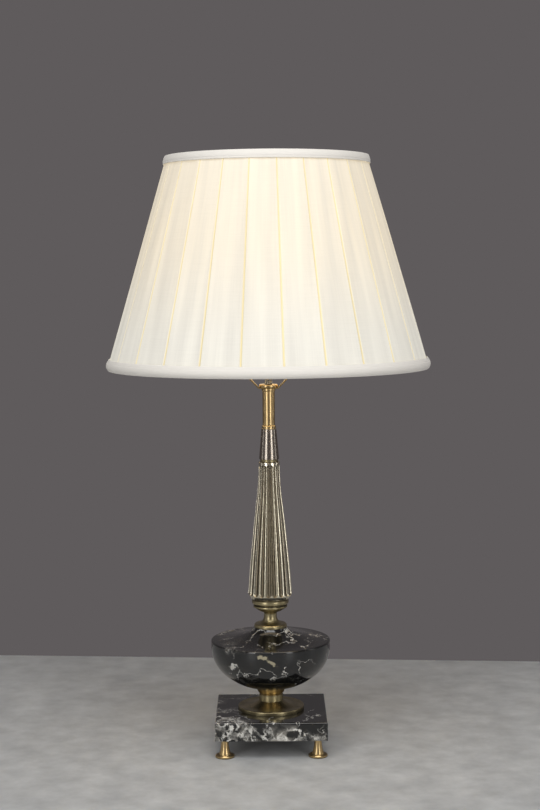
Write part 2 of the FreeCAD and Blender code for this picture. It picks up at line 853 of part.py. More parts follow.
def make_saddle():
    """Sprung strap under the socket: a flat seat and two arms that rise to the harp's legs."""
    body = new_body("harp_saddle", saddle_base)
    thick = s.saddle_thick
    foot = s.harp_foot_half
    half_thick = thick / 2
    knee = s.saddle_knee
    under = [
        (s.saddle_flat, ZERO),
        (foot + half_thick, knee),
        (foot + half_thick, s.saddle_ear),
    ]
    over = [
        (foot - half_thick, s.saddle_ear),
        (foot - half_thick, knee + half_thick),
        (s.saddle_flat - half_thick, thick),
    ]
    mirrored = [(-across, up) for across, up in reversed(under)]
    mirrored_over = [(-across, up) for across, up in reversed(over)]
    strap = new_sketch(body, "saddle_strap", "XZ_Plane")
    outline(strap, under + over + mirrored_over + mirrored)
    add(body, "Pad", "saddle_pad", strap, Length=s.saddle_width, Midplane=True)
    bore = new_sketch(body, "saddle_bore", "XY_Plane")
    circle(bore, ZERO, ZERO, rod_hole)
    cut(body, "saddle_hole", bore, Length=s.saddle_knee)
    pins = new_sketch(body, "saddle_pins", "XY_Plane", s.saddle_ear)
    for across in (-foot, foot):
        circle(pins, across, ZERO, s.harp_wire_radius)
    add(body, "Pad", "saddle_pin_pad", pins, Length=s.harp_pin_height)
    turned("saddle_disc", bevelled_corners(rod_hole, s.disc_radius, s.disc_thick, s.disc_bevel),
           disc_base)


def bent_path(corners):
    """A wire path in the XZ plane: straight runs joined by arcs of each corner's bend."""
    points = [FreeCAD.Vector(across, 0, up) for across, up, _ in corners]
    edges = []
    start = points[0]
    for index in range(1, len(points) - 1):
        back = (points[index - 1] - points[index]).normalize()
        ahead = (points[index + 1] - points[index]).normalize()
        half_turn = (math.pi - back.getAngle(ahead)) / 2
        bend = corners[index][2]
        setback = bend * math.tan(half_turn)
        enter = points[index] + back * setback
        leave = points[index] + ahead * setback
        inward = (back + ahead).normalize()
        crest = points[index] + inward * (bend / math.cos(half_turn) - bend)
        edges.append(Part.LineSegment(start, enter).toShape())
        edges.append(Part.Arc(enter, crest, leave).toShape())
        start = leave
    edges.append(Part.LineSegment(start, points[-1]).toShape())
    return Part.Wire(edges)


def make_harp():
    """Hoop of eight-sided wire, the crown riveted on its top run, and the two sleeves that lock
    its feet."""
    leg_foot = s.saddle_ear + s.harp_pin_height + s.fit_gap
    side = [
        (s.harp_foot_half, leg_foot, ZERO),
        (s.harp_foot_half, leg_foot + s.harp_leg, s.harp_leg_bend),
        (s.harp_belly_half, s.harp_belly_low, s.harp_belly_bend),
        (s.harp_belly_half, s.harp_belly_high, s.harp_crown_bend),
        (s.harp_shoulder_half, s.harp_height, s.harp_shoulder_bend),
    ]
    right = [(across.value, up.value, bend.value) for across, up, bend in side]
    left = [(-across, up, bend) for across, up, bend in reversed(right)]
    path = bent_path(right + left)
    foot = FreeCAD.Vector(s.harp_foot_half.value, 0, leg_foot.value)
    rim = [
        foot + FreeCAD.Vector(math.cos(turn), math.sin(turn), 0) * s.harp_wire_radius.value
        for turn in [math.radians(corner) for corner in range(0, 405, 45)]
    ]
    hoop = path.makePipe(Part.Face(Part.makePolygon(rim)))
    coded("harp_hoop", hoop, saddle_base)
    turned("harp_stud", [
        (ZERO, ZERO),
        (s.crown_radius, ZERO),
        (s.crown_radius, s.crown_thick),
        (s.post_radius, s.crown_thick),
        (s.post_radius, s.crown_thick + s.post_length),
        (ZERO, s.crown_thick + s.post_length),
    ], crown_base)
    inner = s.harp_wire_radius + s.seat_gap
    for label, across in (("harp_sleeve_left", -s.harp_foot_half),
                          ("harp_sleeve_right", s.harp_foot_half)):
        corners = bevelled_corners(inner, s.harp_sleeve_radius, s.harp_sleeve_length,
                                   s.harp_sleeve_bevel)
        sleeve = turned(label, corners, saddle_base + s.saddle_ear + s.seat_gap)
        sleeve.setExpression("Placement.Base.x", across.text)


# ---------------------------------------------------------------------------------------------
# Shade
# ---------------------------------------------------------------------------------------------

def fold_radius(height):
    """Radius of the pleats' folds at a height above the shade's lower edge."""
    fall = (s.shade_low_radius - s.shade_high_radius) / s.shade_height
    return s.shade_low_radius - height * fall


cover_depth = s.pleat_crease + s.cover_wall
cover_high = s.shade_height - s.cover_head
wire_depth = cover_depth + s.seat_gap + s.ring_wire_radius
low_ring_height = s.low_trim_floor + s.seat_gap + s.ring_wire_radius
high_ring_height = s.shade_height - s.high_trim_roof - s.seat_gap - s.ring_wire_radius


def pleated_loop(height, inward):
    """Points of one turn of the pleated cloth, set inward of its outside: each pleat dips a little
    between its two folds, and a narrow crease parts it from the next. All loops have one shape,
    so the cloth between two of them is made of flat facets."""
    low = fold_radius(s.cover_low).value
    scale = (fold_radius(height) - inward).value / low
    pitch = 360 / s.pleat_count.value
    crease = s.pleat_crease_half.value
    quarter = s.pleat_sag.value * s.pleat_quarter_share.value
    steps = [
        (0, s.pleat_crease.value),
        (crease, 0),
        (pitch / 4, quarter),
        (pitch / 2, s.pleat_sag.value),
        (pitch * 3 / 4, quarter),
        (pitch - crease, 0),
    ]
    points = []
    for pleat in range(round(s.pleat_count.value)):
        for offset, dip in steps:
            turn = math.radians(s.pleat_phase.value + pleat * pitch + offset)
            radius = (low - dip) * scale
            points.append(FreeCAD.Vector(
                radius * math.cos(turn), radius * math.sin(turn), height.value))
    return points


def faceted(low, high):
    """The solid between two loops of points, with one flat facet for each pair of their edges."""
    facets = [
        Part.Face(Part.makePolygon([low[i - 1], low[i], high[i], high[i - 1], low[i - 1]]))
        for i in range(len(low))
    ]
    ends = [Part.Face(Part.makePolygon(loop + loop[:1])) for loop in (low, high)]
    return Part.Solid(Part.Shell(facets + ends))


def make_cover():
    """Pleated silk cover, between an outer and an inner pleated wall."""
    outside, inside = [
        faceted(pleated_loop(s.cover_low, inward), pleated_loop(cover_high, inward))
        for inward in (ZERO, s.cover_wall)
    ]
    coded("shade_cover", outside.cut(inside), shade_base)


def make_shade_frame():
    """Wire frame: two rings of eight-sided wire, and the struts that slope between them."""
    for label, height in (("shade_low_ring", low_ring_height),
                          ("shade_high_ring", high_ring_height)):
        body = new_body(label, shade_base)
        section = new_sketch(body, label + "_section", "XZ_Plane")
        middle = fold_radius(height) - wire_depth
        outline(section, [
            (middle + s.ring_wire_radius * math.cos(math.radians(turn)),
             height + s.ring_wire_radius * math.sin(math.radians(turn)))
            for turn in range(0, 360, 45)
        ])
        add(body, "Revolution", label + "_turned", section,
            ReferenceAxis=(section, ["V_Axis"]), Angle=360)
    struts = new_body("shade_struts", shade_base)
    ends = [(fold_radius(height) - wire_depth, height)
            for height in (low_ring_height + s.ring_wire_radius + s.seat_gap,
                           high_ring_height - s.ring_wire_radius - s.seat_gap)]
    strut = sloping_rod(struts, "strut", ends[0], ends[1], s.strut_radius)
    around(struts, "struts", [strut], s.strut_count)


def make_spider():
    """Washer that the finial clamps, with wire arms out to the frame's upper ring."""
    body = new_body("shade_spider", shade_base)
    underside = s.shade_height - s.hub_drop
    disc = new_sketch(body, "hub_circles", "XY_Plane", underside)
    circle(disc, ZERO, ZERO, s.hub_radius)
    circle(disc, ZERO, ZERO, s.post_radius + s.seat_gap)
    add(body, "Pad", "hub", disc, Length=s.hub_thick)
    inner_up = underside + s.hub_thick
    ring_reach = fold_radius(high_ring_height) - wire_depth - s.ring_wire_radius - s.seat_gap
    root = (s.hub_radius - s.arm_wire_radius * 2, inner_up)
    arm = sloping_rod(body, "arm", root, (ring_reach, high_ring_height), s.arm_wire_radius)
    around(body, "arms", [arm], s.arm_count)
    body.Placement.Rotation = FreeCAD.Rotation(FreeCAD.Vector(0, 0, 1), 90)


def make_liner():
    """Thin cloth cone inside the struts, between the two rings."""
    outer_depth = wire_depth + s.strut_radius + s.seat_gap
    inner_depth = outer_depth + s.liner_wall
    low = low_ring_height + s.ring_wire_radius + s.seat_gap
    high = high_ring_height - s.ring_wire_radius - s.seat_gap - s.arm_wire_radius * 2
    turned("shade_liner", [
        (fold_radius(low) - inner_depth, low),
        (fold_radius(low) - outer_depth, low),
        (fold_radius(high) - outer_depth, high),
        (fold_radius(high) - inner_depth, high),
    ], shade_base)


def make_trims():
    """Rolled bands over the cover's two edges, each folded in over its ring."""
    gap = s.seat_gap
    floor = s.low_trim_floor
    reach = s.shade_low_radius + s.low_trim_proud
    widest = (reach, s.low_trim_widest)
    foot = (reach - s.trim_wall * 2, ZERO)
    brow = (fold_radius(s.low_trim_height) + gap + s.trim_wall, s.low_trim_height - s.trim_wall / 2)
    inward = reach - s.low_trim_reach
    turned("shade_bottom_trim", [
        (inward, s.trim_wall / 2),
        (*foot, sag_radius(foot, widest, s.trim_roll), ROUND),
        (*widest, sag_radius(widest, brow, s.trim_roll), ROUND),
        brow,
        (fold_radius(s.low_trim_height) + gap, s.low_trim_height),
        (fold_radius(floor) + gap, floor),
        (inward, floor),
    ], shade_base)
    start = s.shade_height - s.high_trim_height
    roof = s.shade_height - s.high_trim_roof
    skirt = (fold_radius(start) + s.high_trim_proud, start + s.trim_wall / 2)
    crest = (fold_radius(s.shade_height) + s.trim_wall + s.trim_roll, s.shade_height)
    turned("shade_top_trim", [
        (fold_radius(roof) - s.high_trim_reach, roof),
        (fold_radius(roof) + gap, roof),
        (fold_radius(start) + gap, start),
        (*skirt, sag_radius(skirt, crest, s.trim_roll), ROUND),
        crest,
        (fold_radius(roof) - s.high_trim_reach, s.shade_height),
    ], shade_base)


def make_finial():
    """Turned nut with a small ball, screwed on the harp's post."""
    base = hub_base + s.hub_thick + s.seat_gap
    thread = s.post_radius + s.seat_gap
    depth = crown_base + s.crown_thick + s.post_length - base + s.seat_gap
    ball_low = s.finial_foot_height + s.finial_neck_height
    ball = s.finial_ball_radius
    rise = ball_low + ball
    chord_low = (s.finial_neck_radius, ball_low)
    widest = (ball, rise)
    turned("finial", [
        (thread, ZERO),
        (s.finial_foot_radius, ZERO),
        (s.finial_foot_radius, s.finial_foot_height),
        (s.finial_neck_radius, s.finial_foot_height),
        (*chord_low, sag_radius(chord_low, widest, s.finial_ball_sag), ROUND),
        (*widest, ball, ROUND),
        (ZERO, rise + ball),
        (ZERO, depth),
        (thread, depth),
    ], base)


# ---------------------------------------------------------------------------------------------
# Socket, switch and bulb
# ---------------------------------------------------------------------------------------------

thread_inner = s.bulb_thread_radius + s.seat_gap
thread_outer = thread_inner + s.socket_wall
sleeve_inner = thread_outer + s.seat_gap
sleeve_outer = sleeve_inner + s.socket_wall
shell_inner = sleeve_outer + s.seat_gap
shell_outer = shell_inner + s.socket_wall
cap_inner = shell_outer + s.seat_gap
cap_outer = cap_inner + s.socket_wall
body_top = s.body_start + s.body_height
shaft_gap = s.shaft_radius + s.seat_gap


def tube_corners(inner, outer, low, high):
    return [(inner, low), (outer, low), (outer, high), (inner, high)]


def switch_hole(body, name):
    """Round hole in the front wall for the switch's shaft."""
    section = new_sketch(body, name + "_circle", "XZ_Plane")
    circle(section, ZERO, s.switch_height, shaft_gap)
    cut(body, name, section, Length=cap_outer, Reversed=True)


def make_socket():
    """Cap, shell, insulating sleeve, moulded body, screw thread, contact and terminal screws."""
    wall = s.socket_wall
    turned("socket_cap", [
        (rod_hole, ZERO),
        (s.cap_hub_radius, ZERO),
        (s.cap_hub_radius, s.cap_hub_height),
        (s.cap_knee_radius, s.cap_knee_height),
        (cap_outer, s.cap_rise),
        (cap_outer, s.cap_height),
        (cap_inner, s.cap_height),
        (cap_inner, s.cap_rise + wall / 2),
        (s.cap_knee_radius - wall, s.cap_knee_height + wall),
        (s.cap_hub_radius - wall, s.cap_hub_height + wall),
        (rod_hole, s.cap_hub_height + wall),
    ], socket_base)
    shell = turned("socket_shell", [
        (shell_inner, s.shell_start),
        (shell_outer, s.shell_start),
        (shell_outer, s.socket_height),
        (thread_outer, s.socket_height),
        (thread_outer, s.socket_height - wall),
        (shell_inner, s.socket_height - wall),
    ], socket_base)
    switch_hole(shell, "shell_switch_hole")
    sleeve = turned("socket_sleeve", tube_corners(
        sleeve_inner, sleeve_outer, s.shell_start + wall,
        s.socket_height - wall - s.fit_gap), socket_base)
    switch_hole(sleeve, "sleeve_switch_hole")
    start = s.body_start
    moulding = turned("socket_body", [
        (ZERO, start),
        (s.body_waist_radius, start),
        (s.body_waist_radius, start + s.body_waist_height),
        (thread_outer, start + s.body_waist_height),
        (thread_outer, body_top),
        (ZERO, body_top),
    ], socket_base)
    bore = new_sketch(moulding, "switch_bore_circle", "XZ_Plane", s.shaft_start)
    circle(bore, ZERO, s.switch_height, shaft_gap)
    cut(moulding, "switch_bore", bore, Length=cap_outer, Reversed=True)
    screw_up = start + s.terminal_height
    holes = new_sketch(moulding, "terminal_circle", "YZ_Plane")
    circle(holes, ZERO, screw_up, s.terminal_shank + s.fit_gap)
    cut(moulding, "terminal_holes", holes, Length=cap_outer * 2, Midplane=True)
    turned("socket_thread", tube_corners(thread_inner, thread_outer, body_top, s.thread_top),
           socket_base)
    turned("socket_contact", [
        (ZERO, body_top),
        (s.contact_radius, body_top),
        (s.contact_radius, body_top + s.contact_height),
        (ZERO, body_top + s.contact_height),
    ], socket_base)
    make_terminals(screw_up)


def make_terminals(screw_up):
    """Two wiring screws, one each side of the moulded body."""
    body = new_body("terminal_screws", socket_base)
    under_head = s.body_waist_radius + s.fit_gap
    for side, sign in (("left", -1), ("right", 1)):
        head = new_sketch(body, f"terminal_{side}_head", "YZ_Plane", under_head * sign)
        circle(head, ZERO, screw_up, s.terminal_radius)
        add(body, "Pad", f"terminal_{side}", head, Length=s.terminal_thick, Reversed=sign < 0)
        stem = new_sketch(body, f"terminal_{side}_stem", "YZ_Plane", under_head * sign)
        circle(stem, ZERO, screw_up, s.terminal_shank)
        add(body, "Pad", f"terminal_{side}_shank", stem, Length=s.terminal_reach, Reversed=sign > 0)


def make_switch():
    """Rotary switch: a shaft out of the moulded body to a ribbed knob at the front."""
    shaft = new_body("switch_shaft", socket_base)
    section = new_sketch(shaft, "shaft_circle", "XZ_Plane", s.shaft_start + s.fit_gap)
    circle(section, ZERO, s.switch_height, s.shaft_radius)
    add(shaft, "Pad", "shaft_pad", section, Length=s.shaft_length)
    knob_start = shell_outer + s.knob_gap
    shaft_end = s.shaft_start + s.fit_gap + s.shaft_length
    knob = turned("switch_knob", [
        (ZERO, shaft_end - knob_start + s.fit_gap),
        (s.shaft_radius + s.fit_gap, shaft_end - knob_start + s.fit_gap),
        (s.shaft_radius + s.fit_gap, ZERO),
        (s.knob_radius, ZERO),
        (s.knob_radius - s.knob_taper, s.knob_length - s.knob_taper),
        (s.knob_radius - s.knob_taper * 2, s.knob_length),
        (ZERO, s.knob_length),
    ], socket_base + s.switch_height)
    groove = new_sketch(knob, "knob_groove_circle", "XY_Plane")
    circle(groove, s.knob_radius, ZERO, s.knob_groove_radius)
    slot = cut(knob, "knob_groove", groove, Length=s.knob_length)
    around(knob, "knob_grooves", [slot], s.knob_groove_count)
    knob.Placement.Rotation = FreeCAD.Rotation(FreeCAD.Vector(1, 0, 0), 90)
    knob.setExpression("Placement.Base.y", (-knob_start).text)


def make_bulb():
    """Round frosted bulb with its screw cap, black insulator and centre contact."""
    tip_base = socket_base + body_top + s.contact_height + s.seat_gap
    tip = s.bulb_tip_height
    turned("bulb_contact", [
        (ZERO, ZERO),
        (s.bulb_tip_low_radius, ZERO),
        (s.bulb_tip_radius, tip),
        (ZERO, tip),
    ], tip_base)
    turned("bulb_insulator", [
        (ZERO, tip),
        (s.bulb_insulator_low, tip),
        (s.bulb_insulator_high, tip + s.bulb_insulator_height),
        (ZERO, tip + s.bulb_insulator_height),
    ], tip_base)
    cap = tip + s.bulb_insulator_height
    cap_top = cap + s.bulb_cap_height
    turned("bulb_cap", [
        (ZERO, cap),
        (s.bulb_insulator_high, cap),
        (s.bulb_thread_radius, cap + s.bulb_insulator_height),
        (s.bulb_thread_radius, cap_top),
        (ZERO, cap_top),
    ], tip_base)
    neck = (s.bulb_neck_radius, cap_top + s.bulb_neck_height)
    shoulder = (s.bulb_shoulder_radius, cap_top + s.bulb_shoulder_height)
    widest = (s.bulb_radius, cap_top + s.bulb_height - s.bulb_radius)
    turned("bulb_glass", [
        (ZERO, cap_top),
        (s.bulb_neck_radius, cap_top),
        (*neck, sag_radius(neck, shoulder, s.bulb_shoulder_sag), HOLLOW),
        (*shoulder, sag_radius(shoulder, widest, s.bulb_shoulder_sag), ROUND),
        (*widest, s.bulb_radius, ROUND),
        (ZERO, cap_top + s.bulb_height),
    ], tip_base)


# ---------------------------------------------------------------------------------------------
# The lamp
# ---------------------------------------------------------------------------------------------

for foot_label, foot_across, foot_along in foot_places():
    make_foot(foot_label, foot_across, foot_along)
make_foot_studs()
make_plinth()
make_rod_parts()
make_base_flange()
make_bowl_collar()
make_bowl()
make_lid()
make_spool()
make_rings()
make_fluted_column()
make_neck()
make_saddle()
make_harp()
make_cover()
make_shade_frame()
make_spider()
make_liner()
make_trims()
make_finial()
make_socket()
make_switch()
make_bulb()
doc.recompute()

for item in doc.Objects:
    if "Invalid" in item.State or "Error" in item.State:
        raise RuntimeError(f"{item.Label} failed: {item.State}")
for piece in pieces:
    if piece.Shape.isNull() or not piece.Shape.isValid():
        raise RuntimeError(f"{piece.Label} has no sound shape")
for piece in pieces:
    piece.Shape.exportStep(f"parts/{piece.Label}.step")
    box = piece.Shape.BoundBox
    print(f"{piece.Label:20s} solids {len(piece.Shape.Solids)}"
          f" volume {piece.Shape.Volume / 1000:9.2f} cm3  z {box.ZMin:7.2f} to {box.ZMax:7.2f}")
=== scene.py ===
"""Column table lamp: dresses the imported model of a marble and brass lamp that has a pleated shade.

Laid out as an add-on. Each operator makes one piece, or a group of like pieces, round the model's
frame, and one makes the stage. All lengths are in metres, in the frame's own coordinates."""

import math
import random
from functools import cache, partial

import bmesh
import bpy
from bpy.props import FloatProperty, FloatVectorProperty, IntProperty, PointerProperty
from mathutils import Matrix, Vector, noise


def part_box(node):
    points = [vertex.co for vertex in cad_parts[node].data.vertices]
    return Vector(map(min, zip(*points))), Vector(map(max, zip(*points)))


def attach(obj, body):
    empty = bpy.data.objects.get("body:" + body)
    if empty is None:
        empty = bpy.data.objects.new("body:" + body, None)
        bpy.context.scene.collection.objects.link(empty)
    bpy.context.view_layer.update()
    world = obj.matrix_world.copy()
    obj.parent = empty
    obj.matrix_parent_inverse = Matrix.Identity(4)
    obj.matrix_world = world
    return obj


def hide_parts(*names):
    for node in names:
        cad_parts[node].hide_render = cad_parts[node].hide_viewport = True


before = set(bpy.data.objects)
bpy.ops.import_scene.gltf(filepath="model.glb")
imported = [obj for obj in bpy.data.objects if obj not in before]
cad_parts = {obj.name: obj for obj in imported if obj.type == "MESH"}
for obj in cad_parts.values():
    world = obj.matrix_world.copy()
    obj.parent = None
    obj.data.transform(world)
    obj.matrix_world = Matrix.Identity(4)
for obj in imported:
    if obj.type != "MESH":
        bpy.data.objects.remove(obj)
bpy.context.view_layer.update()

bl_info = {
    "name": "Column Table Lamp",
    "version": (1, 0, 0),
    "blender": (4, 5, 0),
    "location": "3D View > Sidebar > Table Lamp",
    "description": "Makes a marble and brass column lamp with a pleated shade",
    "category": "Add Mesh",
}

MM = 0.001
FULL_TURN = 2 * math.pi


# ---- Sizes and colours -----------------------------------------------------------------------

def linear(code):
    """Linear colour of an sRGB hex code such as #A08A5C, with an alpha of 1."""
    shares = [int(code[place:place + 2], 16) / 255 for place in (1, 3, 5)]
    return (*(share / 12.92 if share <= 0.04045 else ((share + 0.055) / 1.055) ** 2.4
              for share in shares), 1.0)


def length(name, description, millimetres):
    return FloatProperty(name=name, description=description, default=millimetres * MM,
                         unit="LENGTH", subtype="DISTANCE")


def colour(name, description, code):
    return FloatVectorProperty(name=name, description=description, default=linear(code),
                               size=4, min=0.0, max=1.0, subtype="COLOR")


def turn(name, description, degrees):
    return FloatProperty(name=name, description=description, default=math.radians(degrees),
                         subtype="ANGLE")


class LampBaseSettings(bpy.types.PropertyGroup):
    ground: colour("Ground", "Colour of the marble between its veins", "#131312")
    vein: colour("Veins", "Colour of the marble's veins", "#D8D6CF")
    cloud: colour("Clouds", "Colour of the marble's soft patches", "#8A8780")
    edge: length("Eased edge", "Width of the eased edges of turned metal", 0.25)


class LampMetalSettings(bpy.types.PropertyGroup):
    aged: colour("Aged brass", "Brass where hands and cloths have kept it bright", "#C2B48C")
    # Patina shows where tarnish lies and in nooks found by ambient occlusion, which also paints
    # shade there
    patina: colour("Patina", "Aged brass in its nooks", "#524B39")
    # Scoops: patina and painted shade in the flutes. Arrises: worn brass made near-white as a
    # painted highlight.
    scoop: colour("Scoops", "Aged brass in the column's flutes", "#6C6354")
    arris: colour("Arrises", "Worn brass between the column's flutes", "#FFF6DE")
    golden: colour("Golden brass", "Polished brass of the collar, tube and feet", "#C3A97B")
    bronze: colour("Dark bronze", "Blackened sleeve above the column", "#9C9388")


class LampColumnSettings(bpy.types.PropertyGroup):
    flutes: IntProperty(name="Flutes", description="Number of flutes round the column",
                        default=20, min=6, max=48)
    phase: turn("Phase", "Direction of one flute's middle, from +X", 283.0)
    share: FloatProperty(name="Flute share", default=0.92, min=0.5, max=0.98,
                         description="Share of the pitch that a flute takes")
    fullness: FloatProperty(name="Fullness", default=1.15, min=1.02, max=2.0,
                            description="Radius of a flute over half its width")
    low: length("Lower end", "Height of a flute's lower end above the column's foot", 9.6)
    high: length("Upper end", "Height of a flute's upper end above the column's foot", 169.4)


class LampShadeSettings(bpy.types.PropertyGroup):
    pleats: IntProperty(name="Pleats", description="Number of pleats round the shade",
                        default=25, min=8, max=60)
    phase: turn("Phase", "Direction of one fold, from +X", 260.9)
    sag: length("Sag", "Depth of a pleat's middle behind its folds", 1.45)
    crease: length("Crease", "Depth of the crease between two pleats", 1.5)
    ripple: length("Ripple", "Depth of the soft ripples in the cloth", 1.0)
    crease_half: turn("Crease width", "Half the width of a crease", 0.5)
    wall: length("Cloth", "Thickness of the cloth with its backing", 0.6)
    silk: colour("Silk", "Colour the pleated silk reflects", "#C4C0B8")
    # Crease colour: painted light through the doubled cloth
    thread: colour("Crease colour", "Colour of the silk along its creases", "#C9BB8C")
    trim: colour("Trim", "Colour of the rolled trims", "#E4E0D8")
    lining: colour("Lining", "Colour of the cloth inside", "#F6F2E8")
    # Glow: painted light, as emission on the silk, lining and trims
    glow: FloatProperty(name="Glow", default=0.42, min=0.0, max=2.0,
                        description="Light that comes through the silk")


class LampStageSettings(bpy.types.PropertyGroup):
    counter: colour("Counter", "Colour of the counter the lamp stands on", "#D3D5D5")
    counter_turn: turn("Counter's turn", "Turn of the counter about the lamp", -4.8)
    backdrop: colour("Backdrop", "Colour behind the lamp", "#5F5B5C")
    counter_back: length("Counter's back", "Distance of the counter's back edge", 457.0)
    camera_back: length("Camera distance", "Distance of the camera from the lamp", 2040.0)
    camera_height: length("Camera height", "Height of the camera", 606.0)
    camera_aside: length("Camera aside", "Offset of the camera to the right", 1.7)
    pitch: turn("Pitch", "Angle of the camera below the level", 4.79)
    roll: turn("Roll", "Roll of the camera", 0.48)
    lens: FloatProperty(name="Lens", description="Focal length for a 36 mm tall picture",
                        default=72.2, subtype="DISTANCE_CAMERA")
    key: FloatProperty(name="Front lights", description="Power of each tall front light",
                       default=9.3, subtype="POWER")
    top: FloatProperty(name="Top light", description="Power of the light overhead",
                       default=20.0, subtype="POWER")
    bulb: FloatProperty(name="Bulb", description="Brightness of the bulb", default=14.0, min=0.0)


SETTINGS = {
    "lamp_base": LampBaseSettings,
    "lamp_metal": LampMetalSettings,
    "lamp_column": LampColumnSettings,
    "lamp_shade": LampShadeSettings,
    "lamp_stage": LampStageSettings,
}


# ---- Ways of making a piece ------------------------------------------------------------------

CRISP = math.radians(32)    # an edge that turns further than this is drawn sharp


def add_object(name, data):
    """A new object in the scene."""
    made = bpy.data.objects.new(name, data)
    bpy.context.scene.collection.objects.link(made)
    return made


def solid_object(name, bm, material):
    """Close a bmesh as an object of one material."""
    mesh = bpy.data.meshes.new(name)
    bm.to_mesh(mesh)
    bm.free()
    mesh.materials.append(material)
    return add_object(name, mesh)


def make_piece(name, bm, material, body, slot, *nodes):
    """Finish a bmesh as a piece that rides on a body and stands for CAD nodes."""
    bmesh.ops.remove_doubles(bm, verts=bm.verts, dist=1e-7)
    bmesh.ops.recalc_face_normals(bm, faces=bm.faces)
    for face in bm.faces:
        face.smooth = True
    for edge in bm.edges:
        edge.smooth = edge.calc_face_angle(0.0) < CRISP
    piece = solid_object(name, bm, material)
    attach(piece, body)
    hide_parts(*nodes)
    return piece


def refinish(material, *nodes):
    """Give CAD nodes whose shape stays a better material."""
    for node in nodes:
        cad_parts[node].material_slots[0].material = material


def half_outline(node, place=Matrix(), section=0.0):
    """Half the outline of a turned node, as edges in the XZ plane. place moves the Z axis onto
    the node's own, and section turns the cut about it."""
    bm = bmesh.new()
    bm.from_mesh(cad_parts[node].data)
    bmesh.ops.remove_doubles(bm, verts=bm.verts, dist=1e-6)
    local = Matrix.Rotation(-section, 4, "Z") @ place.inverted()
    bmesh.ops.transform(bm, matrix=local, verts=bm.verts)
    parts = bm.verts[:] + bm.edges[:] + bm.faces[:]
    bmesh.ops.bisect_plane(bm, geom=parts, dist=1e-6, plane_co=(0, 0, 0), plane_no=(0, 1, 0),
                           clear_inner=True, clear_outer=True)
    other_half = [vert for vert in bm.verts if vert.co.x < -1e-6]
    bmesh.ops.delete(bm, geom=other_half, context="VERTS")
    return bm


def closed_outline(places):
    """A bmesh with a closed outline in the XZ plane, from its corners' radii and heights."""
    bm = bmesh.new()
    corners = [bm.verts.new((radius, 0, height)) for radius, height in places]
    for first, second in zip(corners, corners[1:] + corners[:1]):
        bm.edges.new((first, second))
    return bm


def step_of(vert, steps):
    """Which step of a full spin a vertex lies on."""
    return round(math.atan2(vert.co.y, vert.co.x) / FULL_TURN * steps) % steps


def spin(bm, steps):
    """Turn an outline in the XZ plane about Z, all the way round."""
    bmesh.ops.spin(bm, geom=bm.verts[:] + bm.edges[:], cent=(0, 0, 0), axis=(0, 0, 1),
                   dvec=(0, 0, 0), angle=FULL_TURN, steps=steps, use_merge=True)
    bmesh.ops.remove_doubles(bm, verts=bm.verts, dist=1e-6)
    bmesh.ops.recalc_face_normals(bm, faces=bm.faces)


def bevel(bm, edges, width):
    """Round edges off in two steps."""
    bmesh.ops.bevel(bm, geom=edges, offset=width, offset_type="OFFSET", segments=2, profile=0.5,
                    affect="EDGES", material=-1, clamp_overlap=True)


def ease_edges(bm, width, least=math.radians(35)):
    """Round off the sharp edges, as turning and polishing leave them."""
    bevel(bm, [edge for edge in bm.edges if edge.calc_face_angle(0.0) > least], width)


def add_rows(bm, low, high, step, least_radius=0.0):
    """Divide an outline's upright edges between two heights into rows."""
    for edge in bm.edges[:]:
        first, second = (vert.co for vert in edge.verts)
        middle = (first + second) / 2
        rise = abs(first.z - second.z)
        upright = rise > 2 * abs(first.x - second.x)
        if upright and low <= middle.z <= high and middle.x > least_radius and rise > step:
            bmesh.ops.subdivide_edges(bm, edges=[edge], cuts=round(rise / step))


def cut_thread(bm, low, high, pitch, depth, least_radius):
    """Sink a rounded screw thread between two heights into the outside."""
    for vert in bm.verts:
        radius = vert.co.xy.length
        if low < vert.co.z < high and radius > least_radius:
            turned = math.atan2(vert.co.y, vert.co.x)
            fade = min(1.0, (vert.co.z - low) / pitch, (high - vert.co.z) / pitch)
            groove = 0.5 - 0.5 * math.cos(FULL_TURN * vert.co.z / pitch - turned)
            vert.co.xy *= 1 - depth * fade * groove / radius


def turned_piece(name, node, material, slot, body="base", steps=96, ease=None, place=Matrix(),
                 section=0.0, rows=(), shape=None):
    """A turned piece in place of a CAD node: its outline is spun finely and its edges eased.
    rows are stretches to divide, and shape moves the spun mesh's vertices."""
    bm = half_outline(node, place, section)
    for stretch in rows:
        add_rows(bm, *stretch)
    spin(bm, steps)
    if shape:
        shape(bm)
    ease = bpy.context.scene.lamp_base.edge if ease is None else ease
    if ease:
        ease_edges(bm, ease)
    bmesh.ops.transform(bm, matrix=place @ Matrix.Rotation(section, 4, "Z"), verts=bm.verts)
    piece = make_piece(name, bm, material, body, slot, node)
    piece.modifiers.new("Even shading", "WEIGHTED_NORMAL").keep_sharp = True
    return piece


def bent_line(corners, steps=10):
    """Points along straight runs, joined by arcs of each corner's own bend."""
    line = [corners[0][0]]
    for (before, _), (corner, bend), (after, _) in zip(corners, corners[1:], corners[2:]):
        back = (before - corner).normalized()
        ahead = (after - corner).normalized()
        half = back.angle(ahead) / 2
        center = corner + (back + ahead).normalized() * (bend / math.sin(half))
        arm = corner + back * (bend / math.tan(half)) - center
        axis = back.cross(ahead)
        for step in range(steps + 1):
            swing = Matrix.Rotation(-(math.pi - 2 * half) * step / steps, 3, axis)
            line.append(center + swing @ arm)
    return line + [corners[-1][0]]


